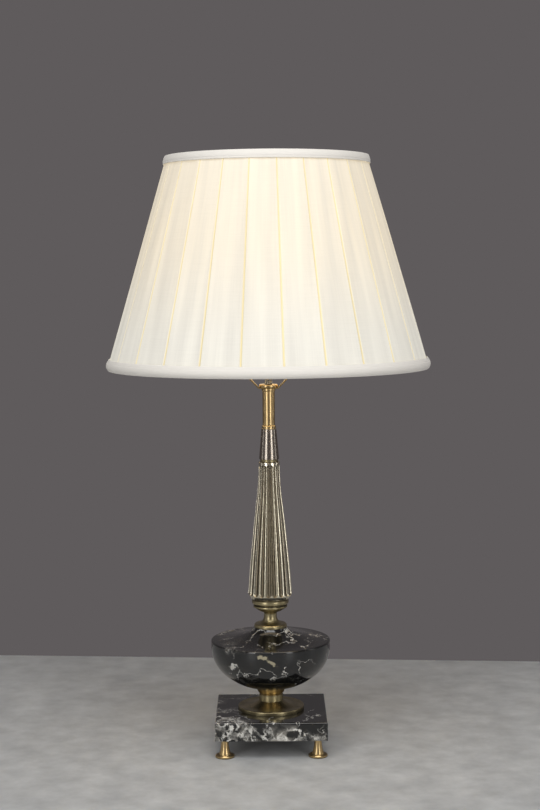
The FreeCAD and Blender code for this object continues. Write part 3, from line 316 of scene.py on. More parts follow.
def add_wire(bm, line, radius, cyclic=False):
    """Add round wire along a line of points."""
    curve = bpy.data.curves.new("wire", "CURVE")
    curve.dimensions = "3D"
    curve.bevel_depth = radius
    curve.bevel_resolution = 4
    curve.use_fill_caps = True
    spline = curve.splines.new("POLY")
    spline.points.add(len(line) - 1)
    for point, place in zip(spline.points, line):
        point.co = (*place, 1)
    spline.use_cyclic_u = cyclic
    holder = bpy.data.objects.new("wire", curve)
    mesh = bpy.data.meshes.new_from_object(holder)
    bm.from_mesh(mesh)
    bpy.data.objects.remove(holder)
    bpy.data.curves.remove(curve)
    bpy.data.meshes.remove(mesh)


def ring_line(radius, height, steps=144):
    """Points round a level ring."""
    return [Vector((radius * math.cos(FULL_TURN * step / steps),
                    radius * math.sin(FULL_TURN * step / steps), height))
            for step in range(steps)]


def axis_of(node):
    """Place of an upright node's own axis."""
    low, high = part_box(node)
    middle = (low + high) / 2
    return Matrix.Translation((middle.x, middle.y, 0))


# ---- Materials -------------------------------------------------------------------------------

SMOOTH = {"interpolation_type": "SMOOTHSTEP"}
COLOURS = {"data_type": "RGBA"}


def add_node(material, kind, inputs=None, **settings):
    """Add a shader node and give its outputs. An input is a value, or the output of another
    node to link it to."""
    node = material.node_tree.nodes.new("ShaderNode" + kind)
    for name, value in settings.items():
        setattr(node, name, value)
    for name, value in (inputs or {}).items():
        if isinstance(value, bpy.types.NodeSocket):
            material.node_tree.links.new(value, node.inputs[name])
        else:
            node.inputs[name].default_value = value
    return node.outputs


def new_material(name):
    """An empty material, and the function that adds a node to it."""
    material = bpy.data.materials.new(name)
    material.use_nodes = True
    material.node_tree.nodes.clear()
    return material, partial(add_node, material)


def finish(material, relief=None, **inputs):
    """Close a material with its Principled shader. Names of inputs use _ for a space. relief is
    a pattern, how strongly it shows and its depth in millimetres."""
    named = {name.replace("_", " "): value for name, value in inputs.items()}
    if relief:
        pattern, strength, depth = relief
        named["Normal"] = add_node(material, "Bump", {
            "Height": pattern, "Strength": strength, "Distance": depth * MM})["Normal"]
    shader = add_node(material, "BsdfPrincipled", named)
    add_node(material, "OutputMaterial", {"Surface": shader["BSDF"]})
    return material


def per(millimetres):
    """Scale of a texture whose features are that many millimetres apart."""
    return 1 / (millimetres * MM)


def darker(shade, share):
    """A colour brought down to a share of itself."""
    return (*(part * share for part in shade[:3]), 1.0)


def fibres(add, place, gaps, detail, roughness=0.5, slant=0.0):
    """Noise drawn out into threads or tool lines, with its gaps in millimetres along X, Y and,
    on a solid, Z."""
    scales = [per(gap) for gap in gaps] + [1.0]
    drawn = add("Mapping", {"Vector": place, "Rotation": (0.0, 0.0, slant), "Scale": scales[:3]})
    return add("TexNoise", {"Vector": drawn["Vector"], "Scale": 1.0, "Detail": detail,
                            "Roughness": roughness})["Fac"]


def worn_metal_nook_shaded(name, bright, dull, nook, gloss, tarnish, lines=(60, 60, 0.5), scoop=None):
    """Metal that was turned and polished by hand, and has dulled since. It is bright where it
    gets rubbed, and dull in nooks of a width of nook millimetres, which ambient occlusion
    finds: patina there, and painted shade too, also between parts. It is softly mottled all
    over, and carries fine tool lines, whose gaps are in millimetres. With a scoop colour, the
    mesh's "hollow" attribute tells how much of that colour shows, as patina and painted shade
    in the scoops."""
    material, add = new_material(name)
    place = add("TexCoord")["Object"]
    mottle, specks = (
        add("TexNoise", {"Vector": place, "Scale": per(size), "Detail": detail,
                         "Roughness": roughness})["Fac"]
        for size, detail, roughness in ((17, 6.0, 0.62), (2.6, 4.0, 0.7)))
    # Ambient occlusion darkens the nooks: patina, and painted shade as well
    occlusion_shade = add("AmbientOcclusion", {"Distance": nook * MM}, samples=6)["AO"]
    blotch, speckle, nooks = (
        add("MapRange", {"Value": pattern, "From Min": low, "From Max": high,
                         "To Min": least})["Result"]
        for pattern, low, high, least in ((mottle, 0.36, 0.66, 1 - tarnish),
                                          (specks, 0.35, 0.62, 1 - tarnish / 2),
                                          (occlusion_shade, 0.45, 0.93, 0.0)))
    both = add("Math", {0: blotch, 1: speckle}, operation="MULTIPLY")["Value"]
    # untarnished_unshaded is low where tarnish blotches lie and where the painted nook shade falls
    untarnished_unshaded = add("Math", {0: both, 1: nooks}, operation="MULTIPLY")["Value"]
    tarnished_gloss = gloss + 0.26
    rough = add("MapRange", {"Value": untarnished_unshaded, "To Min": tarnished_gloss, "To Max": gloss})["Result"]
    # The scoop colour is painted shade in the flutes, over their patina
    if scoop:
        hollow = add("Attribute", attribute_name="hollow")["Fac"]
        bright = add("Mix", {0: hollow, 6: bright, 7: scoop}, **COLOURS)[2]
        rough = add("Math", {0: hollow, 1: 0.02, 2: rough}, operation="MULTIPLY_ADD")["Value"]
    tint = add("Mix", {0: untarnished_unshaded, 6: dull, 7: bright}, **COLOURS)[2]
    return finish(material, (fibres(add, place, lines, 3.0), 0.12, 0.05), Base_Color=tint,
                  Metallic=1.0, Roughness=rough)


@cache
def aged_brass():
    """Cast and turned brass, unlacquered: olive brown in its nooks, as patina and painted shade,
    and bright on its edges, so it looks old but cared for."""
    metal = bpy.context.scene.lamp_metal
    return worn_metal_nook_shaded("Aged turned brass", metal.aged, metal.patina, 7.0, 0.24, 0.45)


@cache
def fluted_brass():
    """The same brass on the scooped column, with tool lines that run up the flutes. The scoops are
    taupe, patina with painted shade, and the arrises between them near-white cream, worn brass
    with a painted highlight."""
    metal = bpy.context.scene.lamp_metal
    return worn_metal_nook_shaded("Aged fluted brass", metal.arris, metal.patina, 5.0, 0.16, 0.30,
                      (0.5, 0.5, 60), metal.scoop)


@cache
def golden_brass():
    """Polished brass of the collar, upper tube, feet and finial: warm, with long highlights."""
    metal = bpy.context.scene.lamp_metal
    return worn_metal_nook_shaded("Polished golden brass", metal.golden, linear("#80704C"), 3.0, 0.28, 0.12)


@cache
def dark_bronze():
    """Darkened bronze of the tapered sleeve: olive grey, with two bright highlights up it."""
    metal = bpy.context.scene.lamp_metal
    return worn_metal_nook_shaded("Blackened bronze", metal.bronze, linear("#3A3630"), 3.0, 0.24, 0.1)


@cache
def zinc_steel():
    """Zinc-plated steel of the rod and its fasteners: grey, faintly spangled."""
    return worn_metal_nook_shaded("Zinc-plated steel", linear("#B4B5B6"), linear("#6E6F70"), 1.5, 0.34, 0.3)


@cache
def harp_brass():
    """Brass-plated spring wire and socket shell: bright and even."""
    return worn_metal_nook_shaded("Brass-plated steel", linear("#D6B878"), linear("#8A6E3E"), 2.0, 0.22, 0.2)


@cache
def nickel():
    """Rolled nickel-plated screw metal: bright grey."""
    return worn_metal_nook_shaded("Nickel-plated screw metal", linear("#CFCDC8"), linear("#8B8984"), 1.5,
                      0.22, 0.2)


# How fast the veins gather along X, Y and Z in a busy block: to the front left, and downwards
VEINED_TOWARD = (-3.2, -0.8, -8)
# Patches in the marble, in millimetres: middle, radius, colour. The first three make the long
# beige one on the bowl's front, then come its white one and the greenish streak on the lid.
MARBLE_SPOTS = (
    ((-10, -74, 130), 5, "#A69E84"),
    ((-3, -75, 127), 5.5, "#A69E84"),
    ((5, -75, 123), 5, "#A69E84"),
    ((-43, -57, 114), 5, "#D5D3CC"),
    ((-24, -22, 148), 6, "#8F8A55"),
)
SPOT_RAGGED = 16            # how far a patch's edge wanders, and how soft it is, in millimetres
SPOT_SOFT = 1.5


@cache
def black_marble(name, busy):
    """Polished black marble: deep and glassy, with thin broken white veins and soft clouds. busy
    is how veined it is. The plinth is busy and the bowl nearly plain, so that they look cut from
    two blocks, as in the photo."""
    base = bpy.context.scene.lamp_base
    material, add = new_material("Polished black marble, " + name)
    place = add("TexCoord")["Object"]
    drift = add("TexNoise", {"Vector": place, "Scale": per(30), "Detail": 6.0,
                             "Roughness": 0.6})["Color"]
    centred = add("VectorMath", {0: drift, 1: (0.5, 0.5, 0.5)}, operation="SUBTRACT")["Vector"]
    pushed = add("VectorMath", {0: centred, "Scale": 36 * MM}, operation="SCALE")["Vector"]
    warped = add("VectorMath", {0: place, 1: pushed}, operation="ADD")["Vector"]
    where = add("TexNoise", {"Vector": place, "Scale": per(75), "Detail": 2.0})["Fac"]
    slope = add("VectorMath", {0: place, 1: [part * busy for part in VEINED_TOWARD]},
                operation="DOT_PRODUCT")["Value"]
    where = add("Math", {0: where, 1: slope})["Value"]
    veined = add("MapRange", {"Value": where, "From Min": 0.58 - 0.40 * busy,
                              "From Max": 0.70 - 0.40 * busy, "To Max": 0.3 + 0.7 * busy},
                 **SMOOTH)["Result"]

    def cracks(gap, wide, least):
        """Jagged lines about gap millimetres apart and wide millimetres across, which thin out
        and break up. They lie where a drifting noise crosses its middle."""
        level = add("TexNoise", {"Vector": warped, "Scale": per(gap), "Detail": 4.0,
                                 "Roughness": 0.55})["Fac"]
        off = add("Math", {0: level, 1: 0.5}, operation="SUBTRACT")["Value"]
        away = add("Math", {0: off}, operation="ABSOLUTE")["Value"]
        line = add("MapRange", {"Value": away, "From Min": 0.1 * wide / gap,
                                "From Max": wide / gap, "To Min": 1.0, "To Max": 0.0},
                   **SMOOTH)["Result"]
        breaks = add("TexNoise", {"Vector": place, "Scale": per(gap * 0.6), "Detail": 3.0})["Fac"]
        kept = add("MapRange", {"Value": breaks, "From Min": 0.42, "From Max": 0.60,
                                "To Min": least}, **SMOOTH)["Result"]
        return add("Math", {0: line, 1: kept}, operation="MULTIPLY")["Value"]

    swirl = add("TexNoise", {"Vector": warped, "Scale": per(26), "Detail": 9.0,
                             "Roughness": 0.58})["Fac"]
    haze = add("MapRange", {"Value": swirl, "From Min": 0.44, "From Max": 0.64},
               **SMOOTH)["Result"]
    cloud, broad = (add("Math", {0: pattern, 1: veined}, operation="MULTIPLY")["Value"]
                    for pattern in (haze, cracks(17, 1.1, 0.2)))
    tint = base.ground
    for pattern, shade in ((cloud, base.cloud), (cracks(46, 0.42, 0.0), base.vein),
                           (broad, base.vein)):
        tint = add("Mix", {0: pattern, 6: tint, 7: shade}, **COLOURS)[2]
    for spot, radius, code in MARBLE_SPOTS:
        apart = add("VectorMath", {0: warped, 1: [part * MM for part in spot]},
                    operation="DISTANCE")["Value"]
        ragged = add("Math", {0: swirl, 1: SPOT_RAGGED * MM, 2: apart},
                     operation="MULTIPLY_ADD")["Value"]
        edge = radius + SPOT_RAGGED / 2
        near = add("MapRange", {"Value": ragged, "From Min": (edge - SPOT_SOFT) * MM,
                                "From Max": edge * MM, "To Min": 0.85, "To Max": 0.0},
                   **SMOOTH)["Result"]
        tint = add("Mix", {0: near, 6: tint, 7: linear(code)}, **COLOURS)[2]
    rough = add("MapRange", {"Value": swirl, "From Min": 0.3, "From Max": 0.8, "To Min": 0.10,
                             "To Max": 0.20})["Result"]
    return finish(material, Base_Color=tint, Roughness=rough, IOR=1.49, Coat_Weight=0.4,
                  Coat_Roughness=0.05)


@cache
def pleated_silk():
    """Slubbed silk, pleated and lit from inside. The light it lets through is painted on as
    emission, a painted glow, warmer above and whiter low down, and it reflects half the light. Thin
    uneven threads cross it, soft bands of painted shade run up its glow, and along each crease its
    colour and glow are painted yellower, as painted light through the doubled cloth."""
    shade = bpy.context.scene.lamp_shade
    material, add = new_material("Pleated slub silk")
    cloth = add("UVMap", uv_map="Cloth")["UV"]
    slub = fibres(add, cloth, (45, 1.1), 5.0, 0.65)
    weave = add("Math", {0: slub, 1: fibres(add, cloth, (0.8, 70), 3.0)})["Value"]
    tone = add("MapRange", {"Value": weave, "From Min": 0.7, "From Max": 1.3})["Result"]
    # Crease colour and crease glow are painted light through the doubled cloth
    crease = add("Attribute", attribute_name="crease")["Fac"]
    tint = add("Mix", {0: tone, 6: darker(shade.silk, 0.90), 7: shade.silk}, **COLOURS)[2]
    tint = add("Mix", {0: crease, 6: tint, 7: shade.thread}, **COLOURS)[2]
    # Painted glow: warmer above, whiter low down
    height = add("SeparateXYZ", {"Vector": add("TexCoord")["Object"]})["Z"]
    warmth = add("MapRange", {"Value": height, "From Min": 0.50, "From Max": 0.66},
                 **SMOOTH)["Result"]
    light = add("Mix", {0: warmth, 6: linear("#E6E4D6"), 7: linear("#FFEAC0")}, **COLOURS)[2]
    light = add("Mix", {0: crease, 6: light, 7: linear("#E3D196")}, **COLOURS)[2]
    # Soft bands of painted shade in the glow
    bands = fibres(add, cloth, (15, 240), 2.0)
    glow = add("MapRange", {"Value": bands, "From Min": 0.34, "From Max": 0.66,
                            "To Min": shade.glow * 0.76, "To Max": shade.glow * 1.08})["Result"]
    return finish(material, (weave, 0.25, 0.12), Base_Color=tint, Roughness=0.75,
                  Sheen_Weight=0.15, Emission_Color=light, Emission_Strength=glow)


@cache
def rolled_trim():
    """Bias-cut silk rolled over the shade's edges: closer and whiter than the pleats, with a faint
    painted glow.
    """
    shade = bpy.context.scene.lamp_shade
    material, add = new_material("Rolled silk trim")
    grain = fibres(add, add("UVMap", uv_map="Cloth")["UV"], (9, 0.9), 4.0, slant=math.radians(45))
    tint = add("Mix", {0: grain, 6: darker(shade.trim, 0.88), 7: shade.trim}, **COLOURS)[2]
    return finish(material, (grain, 0.2, 0.15), Base_Color=tint, Roughness=0.7, Sheen_Weight=0.1,
                  Emission_Color=linear("#FFF6EA"), Emission_Strength=shade.glow * 0.05)


@cache
def plain_lining():
    """Smooth acetate lining: nearly white, lit warmly by the bulb, with a painted warm glow on top.
    """
    shade = bpy.context.scene.lamp_shade
    material, add = new_material("Acetate lining")
    grain = fibres(add, add("UVMap", uv_map="Cloth")["UV"], (0.6, 30), 3.0)
    tint = add("Mix", {0: grain, 6: darker(shade.lining, 0.93), 7: shade.lining}, **COLOURS)[2]
    return finish(material, (grain, 0.1, 0.08), Base_Color=tint, Roughness=0.55,
                  Sheen_Weight=0.1, Emission_Color=linear("#FFE9C8"),
                  Emission_Strength=shade.glow)


def mottled(name, light, dark, size, rough, depth):
    """A plain material that is mottled at a size in millimetres, in colour, gloss and relief."""
    material, add = new_material(name)
    place = add("TexCoord")["Object"]
    spots = add("TexNoise", {"Vector": place, "Scale": per(size), "Detail": 5.0,
                             "Roughness": 0.6})["Fac"]
    tint = add("Mix", {0: spots, 6: dark, 7: light}, **COLOURS)[2]
    gloss = add("MapRange", {"Value": spots, "From Min": 0.3, "From Max": 0.7, "To Min": rough,
                             "To Max": rough + 0.12})["Result"]
    return finish(material, (spots, 0.3, depth), Base_Color=tint, Roughness=gloss)


@cache
def white_enamel():
    """Baked white enamel on the shade's wire frame: slightly orange-peeled, with dull spots."""
    return mottled("White enamel", linear("#F0EEE8"), linear("#D8D4CA"), 3.0, 0.3, 0.05)


@cache
def phenolic():
    """Moulded brown-black phenolic of the socket's body and the knob: glossy, faintly cloudy."""
    return mottled("Moulded phenolic", linear("#2B221D"), linear("#171210"), 6.0, 0.22, 0.03)


@cache
def fibre_board():
    """Vulcanised fibre of the socket's insulating sleeve: matt and brown, with short fibres."""
    return mottled("Vulcanised fibre", linear("#8A6A48"), linear("#5E4630"), 1.2, 0.7, 0.06)


@cache
def black_rubber():
    """Moulded black rubber of the cord's bushing: matt, with a dusty bloom."""
    return mottled("Moulded rubber", linear("#3A3938"), linear("#242322"), 2.0, 0.6, 0.05)


@cache
def frosted_glass():
    """Acid-frosted globe of the lit bulb: a soft white ball, faintly mottled by its etching."""
    material, add = new_material("Frosted glass, lit")
    place = add("TexCoord")["Object"]
    etch = add("TexNoise", {"Vector": place, "Scale": per(1.5), "Detail": 3.0})["Fac"]
    tint = add("Mix", {0: etch, 6: linear("#E9E6DE"), 7: linear("#FBFAF6")}, **COLOURS)[2]
    return finish(material, (etch, 0.15, 0.03), Base_Color=tint, Roughness=0.5,
                  Emission_Color=linear("#FFE7C2"),
                  Emission_Strength=bpy.context.scene.lamp_stage.bulb)


# ---- Base ------------------------------------------------------------------------------------

class LAMP_OT_feet(bpy.types.Operator):
    """Four turned trumpet feet of golden brass"""
    bl_idname = "lamp.feet"
    bl_label = "Feet"

    def execute(self, context):
        for node in ("foot_front_left", "foot_front_right", "foot_back_left", "foot_back_right"):
            turned_piece(node + "_turned", node, golden_brass(), "golden_brass", steps=64,
                         place=axis_of(node))
        return {"FINISHED"}


class LAMP_OT_marble(bpy.types.Operator):
    """Marble plinth, bowl and lid"""
    bl_idname = "lamp.marble"
    bl_label = "Marble"

    def execute(self, context):
        refinish(black_marble("plinth", 1.0), "plinth")
        for node in ("marble_bowl", "marble_lid"):
            turned_piece(node + "_turned", node, black_marble("bowl", 0.0), "black_marble",
                         steps=144, ease=0.35 * MM)
        return {"FINISHED"}


class LAMP_OT_hardware(bpy.types.Operator):
    """Threaded rod with its washer, nut, studs and cord bushing"""
    bl_idname = "lamp.hardware"
    bl_label = "Rod and fasteners"
    pitch: length("Pitch", "Pitch of the rod's thread", 1.0)
    depth: length("Depth", "Depth of the rod's thread", 0.45)
    bore: length("Bore", "Radius of the rod's bore", 3.4)

    def execute(self, context):
        low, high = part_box("center_rod")
        bare_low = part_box("saddle_disc")[1].z
        bare_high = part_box("socket_cap")[0].z
        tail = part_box("rod_nut")[0].z
        bare = ((low.z, tail), (bare_low, bare_high))
        heights = (low.z, tail, bare_low, bare_high, high.z)
        bm = closed_outline([(high.x, height) for height in heights]
                            + [(self.bore, high.z), (self.bore, low.z)])
        for start, end in bare:
            add_rows(bm, start, end, self.pitch / 6, self.bore * 1.1)
        spin(bm, 48)
        for start, end in bare:
            cut_thread(bm, start, end, self.pitch, self.depth, self.bore * 1.1)
        make_piece("threaded_rod", bm, zinc_steel(), "base", "zinc_steel", "center_rod")
        refinish(zinc_steel(), "rod_washer", "rod_nut", "foot_studs")
        refinish(black_rubber(), "cord_bushing")
        return {"FINISHED"}


# ---- Column ----------------------------------------------------------------------------------

# Runs of the column's surface, in millimetres: height, radius there, swell up to the next
COLUMN_RUNS = ((0, 23.6, 1.3), (9, 27.7, 0.7), (123.5, 16.5, -0.8), (172, 13.4, 0.0),
               (174.5, 13.4, 0.0))
COLUMN_BORE = 8.0 * MM
# Columns of vertices over one flute, as shares of its half width, and then over its arris
SCOOP_SHARES = (-1, -0.93, -0.8, -0.6, -0.4, -0.2, 0, 0.2, 0.4, 0.6, 0.8, 0.93, 1)
ARRIS_SHARES = (0.33, 0.67)


def column_radius(height):
    """Radius of the column's surface before its flutes, at a height above its foot."""
    up = height / MM
    for (start, radius, swell), (end, next_radius, _) in zip(COLUMN_RUNS, COLUMN_RUNS[1:]):
        if up <= end + 1e-6:
            part = (up - start) / (end - start)
            return (radius + (next_radius - radius) * part + 4 * swell * part * (1 - part)) * MM
    return COLUMN_RUNS[-1][1] * MM


class LAMP_OT_column(bpy.types.Operator):
    """Fluted column: each flute is a tapering scoop with round ends"""
    bl_idname = "lamp.column"
    bl_label = "Fluted column"

    def execute(self, context):
        sizes = context.scene.lamp_column
        pitch = FULL_TURN / sizes.flutes
        half_width = pitch / 2 * sizes.share
        cutter = math.sin(half_width) * sizes.fullness
        reach = math.cos(half_width) + math.sqrt(cutter ** 2 - math.sin(half_width) ** 2)
        run_out = math.sqrt(1 - ((reach - 1) / cutter) ** 2)

        def rows():
            """Heights of the rows, closest where the flutes' round ends run out."""
            low_end = column_radius(sizes.low) * cutter * run_out
            high_end = column_radius(sizes.high) * cutter * run_out
            top = COLUMN_RUNS[-1][0] * MM
            bends = [math.sin(math.pi / 2 * step / 14) for step in range(15)]
            below = [(sizes.low - low_end) * step / 6 for step in range(6)]
            low_bend = [sizes.low - low_end * bend for bend in reversed(bends)]
            run = [sizes.low + (sizes.high - sizes.low) * step / 60 for step in range(1, 60)]
            high_bend = [sizes.high + high_end * bend for bend in bends]
            start = high_bend[-1]
            above = [start + (top - start) * step / 3 for step in range(1, 4)]
            return below + low_bend + run + high_bend + above

        def place(height, flute, column):
            """Angle and radius of a vertex of the fluted surface."""
            end = min(max(height, sizes.low), sizes.high)
            surface = column_radius(height)
            middle = column_radius(end) * reach
            ball = math.sqrt(max((column_radius(end) * cutter) ** 2 - (height - end) ** 2, 0))
            cosine = (surface ** 2 + middle ** 2 - ball ** 2) / (2 * surface * middle)
            half = max(math.acos(min(cosine, 1.0)), pitch * 0.01)
            start = sizes.phase + flute * pitch
            if column >= len(SCOOP_SHARES):
                share = ARRIS_SHARES[column - len(SCOOP_SHARES)]
                return start + half + (pitch - 2 * half) * share, surface
            aside = half * SCOOP_SHARES[column]
            square = max(ball ** 2 - (middle * math.sin(aside)) ** 2, 0)
            scooped = middle * math.cos(aside) - math.sqrt(square)
            return start + aside, min(scooped, surface)

        heights = rows()
        columns = len(SCOOP_SHARES) + len(ARRIS_SHARES)
        steps = columns * sizes.flutes
        bm = closed_outline([(1.0, height) for height in heights]
                            + [(COLUMN_BORE, heights[-1]), (COLUMN_BORE, heights[0])])
        spin(bm, steps)
        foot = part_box("fluted_column")[0].z
        # hollow is 1 in a scoop's middle and 0 on the arrises; the material paints the scoops darker
        # with it, as painted shade
        hollow = bm.verts.layers.float.new("hollow")
        for vert in bm.verts:
            flute, column = divmod(step_of(vert, steps), columns)
            angle, radius = place(vert.co.z, flute, column)
            if vert.co.xy.length < 0.5:
                radius = COLUMN_BORE
            elif column < len(SCOOP_SHARES):
                vert[hollow] = 1 - SCOOP_SHARES[column] ** 4
            vert.co = (radius * math.cos(angle), radius * math.sin(angle), vert.co.z + foot)
        rims = [edge for edge in bm.edges
                if edge.calc_face_angle(0.0) > math.radians(60)
                and all(abs(vert.co.z - foot - heights[-1]) < 1e-6 for vert in edge.verts)
                and edge.verts[0].co.xy.length > COLUMN_BORE * 1.1]
        bevel(bm, rims, 0.4 * MM)
        make_piece("fluted_column_carved", bm, fluted_brass(), "base", "antique_brass",
                   "fluted_column")
        return {"FINISHED"}


class LAMP_OT_turnings(bpy.types.Operator):
    """Flange, collar, spool, rings, dark sleeve and upper tube"""
    bl_idname = "lamp.turnings"
    bl_label = "Turned metal"

    def execute(self, context):
        aged = aged_brass(), "antique_brass"
        golden = golden_brass(), "golden_brass"
        for node, (material, slot) in (
            ("base_flange", aged), ("bowl_collar", golden), ("column_spool", aged),
            ("column_lower_ring", aged), ("column_upper_ring", aged), ("neck_ring", aged),
            ("dark_sleeve", (dark_bronze(), "dark_bronze")), ("upper_tube", golden),
            ("saddle_disc", golden),
        ):
            turned_piece(node + "_turned", node, material, slot)
        return {"FINISHED"}


# ---- Harp ------------------------------------------------------------------------------------

# Corners of half the hoop, in millimetres: aside, above the saddle's underside, radius of bend
HOOP_CORNERS = ((28.5, 30.65, 0), (28.5, 54.65, 45), (56, 145, 150), (56, 214, 70),
                (27, 272.8, 24))


class LAMP_OT_harp(bpy.types.Operator):
    """Saddle, bent wire hoop, threaded stud and locking sleeves"""
    bl_idname = "lamp.harp"
    bl_label = "Harp"
    wire: length("Wire", "Radius of the hoop's wire", 1.6)

    def execute(self, context):
        refinish(harp_brass(), "harp_saddle")
        self.make_hoop()
        for side in ("left", "right"):
            node = "harp_sleeve_" + side
            turned_piece(node + "_turned", node, harp_brass(), "harp_brass",
                         body="sleeve_" + side, steps=48, place=axis_of(node))
        low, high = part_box("harp_stud")
        flange = 2.6 * MM
        start, inside = low.z + 3 * MM, 2.79 * MM
        turned_piece(
            "harp_stud_threaded", "harp_stud", harp_brass(), "harp_brass", steps=48, ease=0,
            rows=((low.z + flange, high.z, 0.16 * MM, 1.0 * MM),),
            shape=lambda bm: cut_thread(bm, start, high.z, 0.94 * MM, 0.35 * MM, inside))
        return {"FINISHED"}

    def make_hoop(self):
        """The hoop's right half is a run of corners, and its left half mirrors them."""
        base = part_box("harp_saddle")[0].z
        corners = [(Vector((across * MM, 0, base + up * MM)), bend * MM)
                   for across, up, bend in HOOP_CORNERS]
        mirrored = [(Vector((-place.x, 0, place.z)), bend) for place, bend in reversed(corners)]
        bm = bmesh.new()
        add_wire(bm, bent_line(corners + mirrored, 14), self.wire)
        make_piece("harp_hoop_wire", bm, harp_brass(), "base", "harp_brass", "harp_hoop")


# ---- Shade -----------------------------------------------------------------------------------

SHADE_HEIGHT = 264.5 * MM
FOLD_LOW = 202.65 * MM      # radius of the folds at the shade's lower edge
FOLD_HIGH = 125.05 * MM     # and at its upper edge
WIRE_DEPTH = 4.0 * MM       # of the frame's wires behind the folds
LOW_RING = 5.1 * MM         # heights of the frame's rings above the shade's lower edge
HIGH_RING = 261.3 * MM
RIPPLE_OUT = -0.5 * MM      # furthest that a ripple lifts the cloth, and sinks it
RIPPLE_IN = 0.35 * MM
CREASE_TINT = 0.3           # reach of the creases' own colour, in degrees
# Columns of vertices over half a pleat, in degrees from its crease
PLEAT_COLUMNS = (0.0, 0.14, 0.27, 0.38, 0.5, 0.64, 0.9, 1.5, 2.6, 4.2, 6.2)


def shade_base():
    """Height of the shade's lower edge."""
    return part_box("shade_bottom_trim")[0].z


def fold_radius(height):
    """Radius of the folds at a height above the shade's lower edge."""
    return FOLD_LOW - height * (FOLD_LOW - FOLD_HIGH) / SHADE_HEIGHT


def lay_cloth(piece):
    """UV map in metres round and up the shade, for patterns that follow the cloth."""
    mesh = piece.data
    cloth = mesh.uv_layers.new(name="Cloth")
    base = shade_base()
    for face in mesh.polygons:
        center = math.atan2(face.center.y, face.center.x)
        for loop in face.loop_indices:
            place = mesh.vertices[mesh.loops[loop].vertex_index].co
            aside = math.atan2(place.y, place.x) - center
            aside = (aside + math.pi) % FULL_TURN - math.pi
            up = place.z - base
            cloth.data[loop].uv = ((center + aside) * fold_radius(SHADE_HEIGHT / 2), up)


class LAMP_OT_cover(bpy.types.Operator):
    """Pleated silk cover, stretched over the frame"""
    bl_idname = "lamp.cover"
    bl_label = "Pleated cover"

    def execute(self, context):
        sizes = context.scene.lamp_shade
        pitch = 360 / sizes.pleats
        half = math.degrees(sizes.crease_half)
        low, high = (end.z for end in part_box("shade_cover"))
        base = shade_base()
        draw = random.Random(7)
        offsets = list(PLEAT_COLUMNS) + [pitch / 2]
        offsets += [pitch - place for place in reversed(PLEAT_COLUMNS[1:])]
        columns = len(offsets)
        steps = columns * sizes.pleats
        deeper = [draw.uniform(0.7, 1.1) for _ in range(sizes.pleats)]
        shifts = [draw.uniform(-0.12, 0.12) for _ in range(sizes.pleats)]
        rows = 40
        heights = [low + (high - low) * row / rows for row in range(rows + 1)]
        bm = closed_outline([(1.0, height) for height in heights]
                            + [(0.5, height) for height in reversed(heights)])
        spin(bm, steps)
        crease = bm.verts.layers.float.new("crease")
        for vert in bm.verts:
            inner = vert.co.xy.length < 0.75
            pleat, column = divmod(step_of(vert, steps), columns)
            offset = offsets[column]
            near = min(offset, pitch - offset)
            up = vert.co.z - base
            scale = (fold_radius(up) - (sizes.wall if inner else 0)) / FOLD_LOW
            loose = math.sin(math.pi * (vert.co.z - low) / (high - low)) ** 0.5
            across = offset / pitch
            dip = sizes.sag * (1 - abs(2 * across - 1) ** 3) * (1 + (deeper[pleat] - 1) * loose)
            if near < half:
                dip += sizes.crease * (1 - (near / half) ** 1.3) ** 1.1
            ripple = noise.noise(Vector((pleat * 3.1, across * 3.6, up * 6))) * sizes.ripple
            ripple = min(max(ripple, RIPPLE_OUT), RIPPLE_IN)
            dip += ripple * loose * min(near / 1.5, 1)
            shift = shifts[pleat] * (1 - across) + shifts[(pleat + 1) % sizes.pleats] * across
            angle = sizes.phase + math.radians(pleat * pitch + offset + shift * loose)
            radius = (FOLD_LOW - dip) * scale
            vert.co.xy = (radius * math.cos(angle), radius * math.sin(angle))
            vert[crease] = math.exp(-(near / CREASE_TINT) ** 2)
        cover = make_piece("shade_cover_pleated", bm, pleated_silk(), "shade", "pleated_silk",
                           "shade_cover")
        lay_cloth(cover)
        return {"FINISHED"}


class LAMP_OT_trims(bpy.types.Operator):
    """Lining and the two rolled trims"""
    bl_idname = "lamp.trims"
    bl_label = "Lining and trims"
    join: turn("Join", "Direction of the lower trim's join", 276.5)

    def execute(self, context):
        base = shade_base()
        lining = turned_piece("shade_liner_sewn", "shade_liner", plain_lining(), "shade_lining",
                              body="shade", steps=180, ease=0)
        lay_cloth(lining)
        for node, seams, cut in (("shade_bottom_trim", (10.3, 12.2), 24.0),
                                 ("shade_top_trim", (256.5,), 19.0)):
            start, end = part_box(node)
            trim = turned_piece(
                node + "_rolled", node, rolled_trim(), "shade_trim", body="shade", steps=288,
                ease=0, rows=((start.z + 1 * MM, end.z, 0.6 * MM),),
                shape=lambda bm, seams=seams: self.sew(bm, base, seams))
            lay_cloth(trim)
        return {"FINISHED"}

    def sew(self, bm, base, seams):
        """Sink the seam lines, loosen the roll a little and raise its join."""
        loose, seam_depth, seam_width, join_height, join_width, least = (
            size * MM for size in (0.12, 0.3, 0.45, 0.15, 2, 0.3))
        for vert in bm.verts:
            up = vert.co.z - base
            angle = math.atan2(vert.co.y, vert.co.x)
            outward = vert.co.xy.length - fold_radius(up)
            if outward < 2 * least:
                continue
            moved = loose * noise.noise(Vector((angle * 9, up * 40, 2)))
            for seam in seams:
                moved -= seam_depth * math.exp(-((up - seam * MM) / seam_width) ** 2)
            aside = (angle - self.join + math.pi) % FULL_TURN - math.pi
            if len(seams) > 1:
                moved += join_height * math.exp(-(aside * FOLD_LOW / join_width) ** 2)
            moved = max(moved, least - outward)
            vert.co.xy *= 1 + moved / vert.co.xy.length


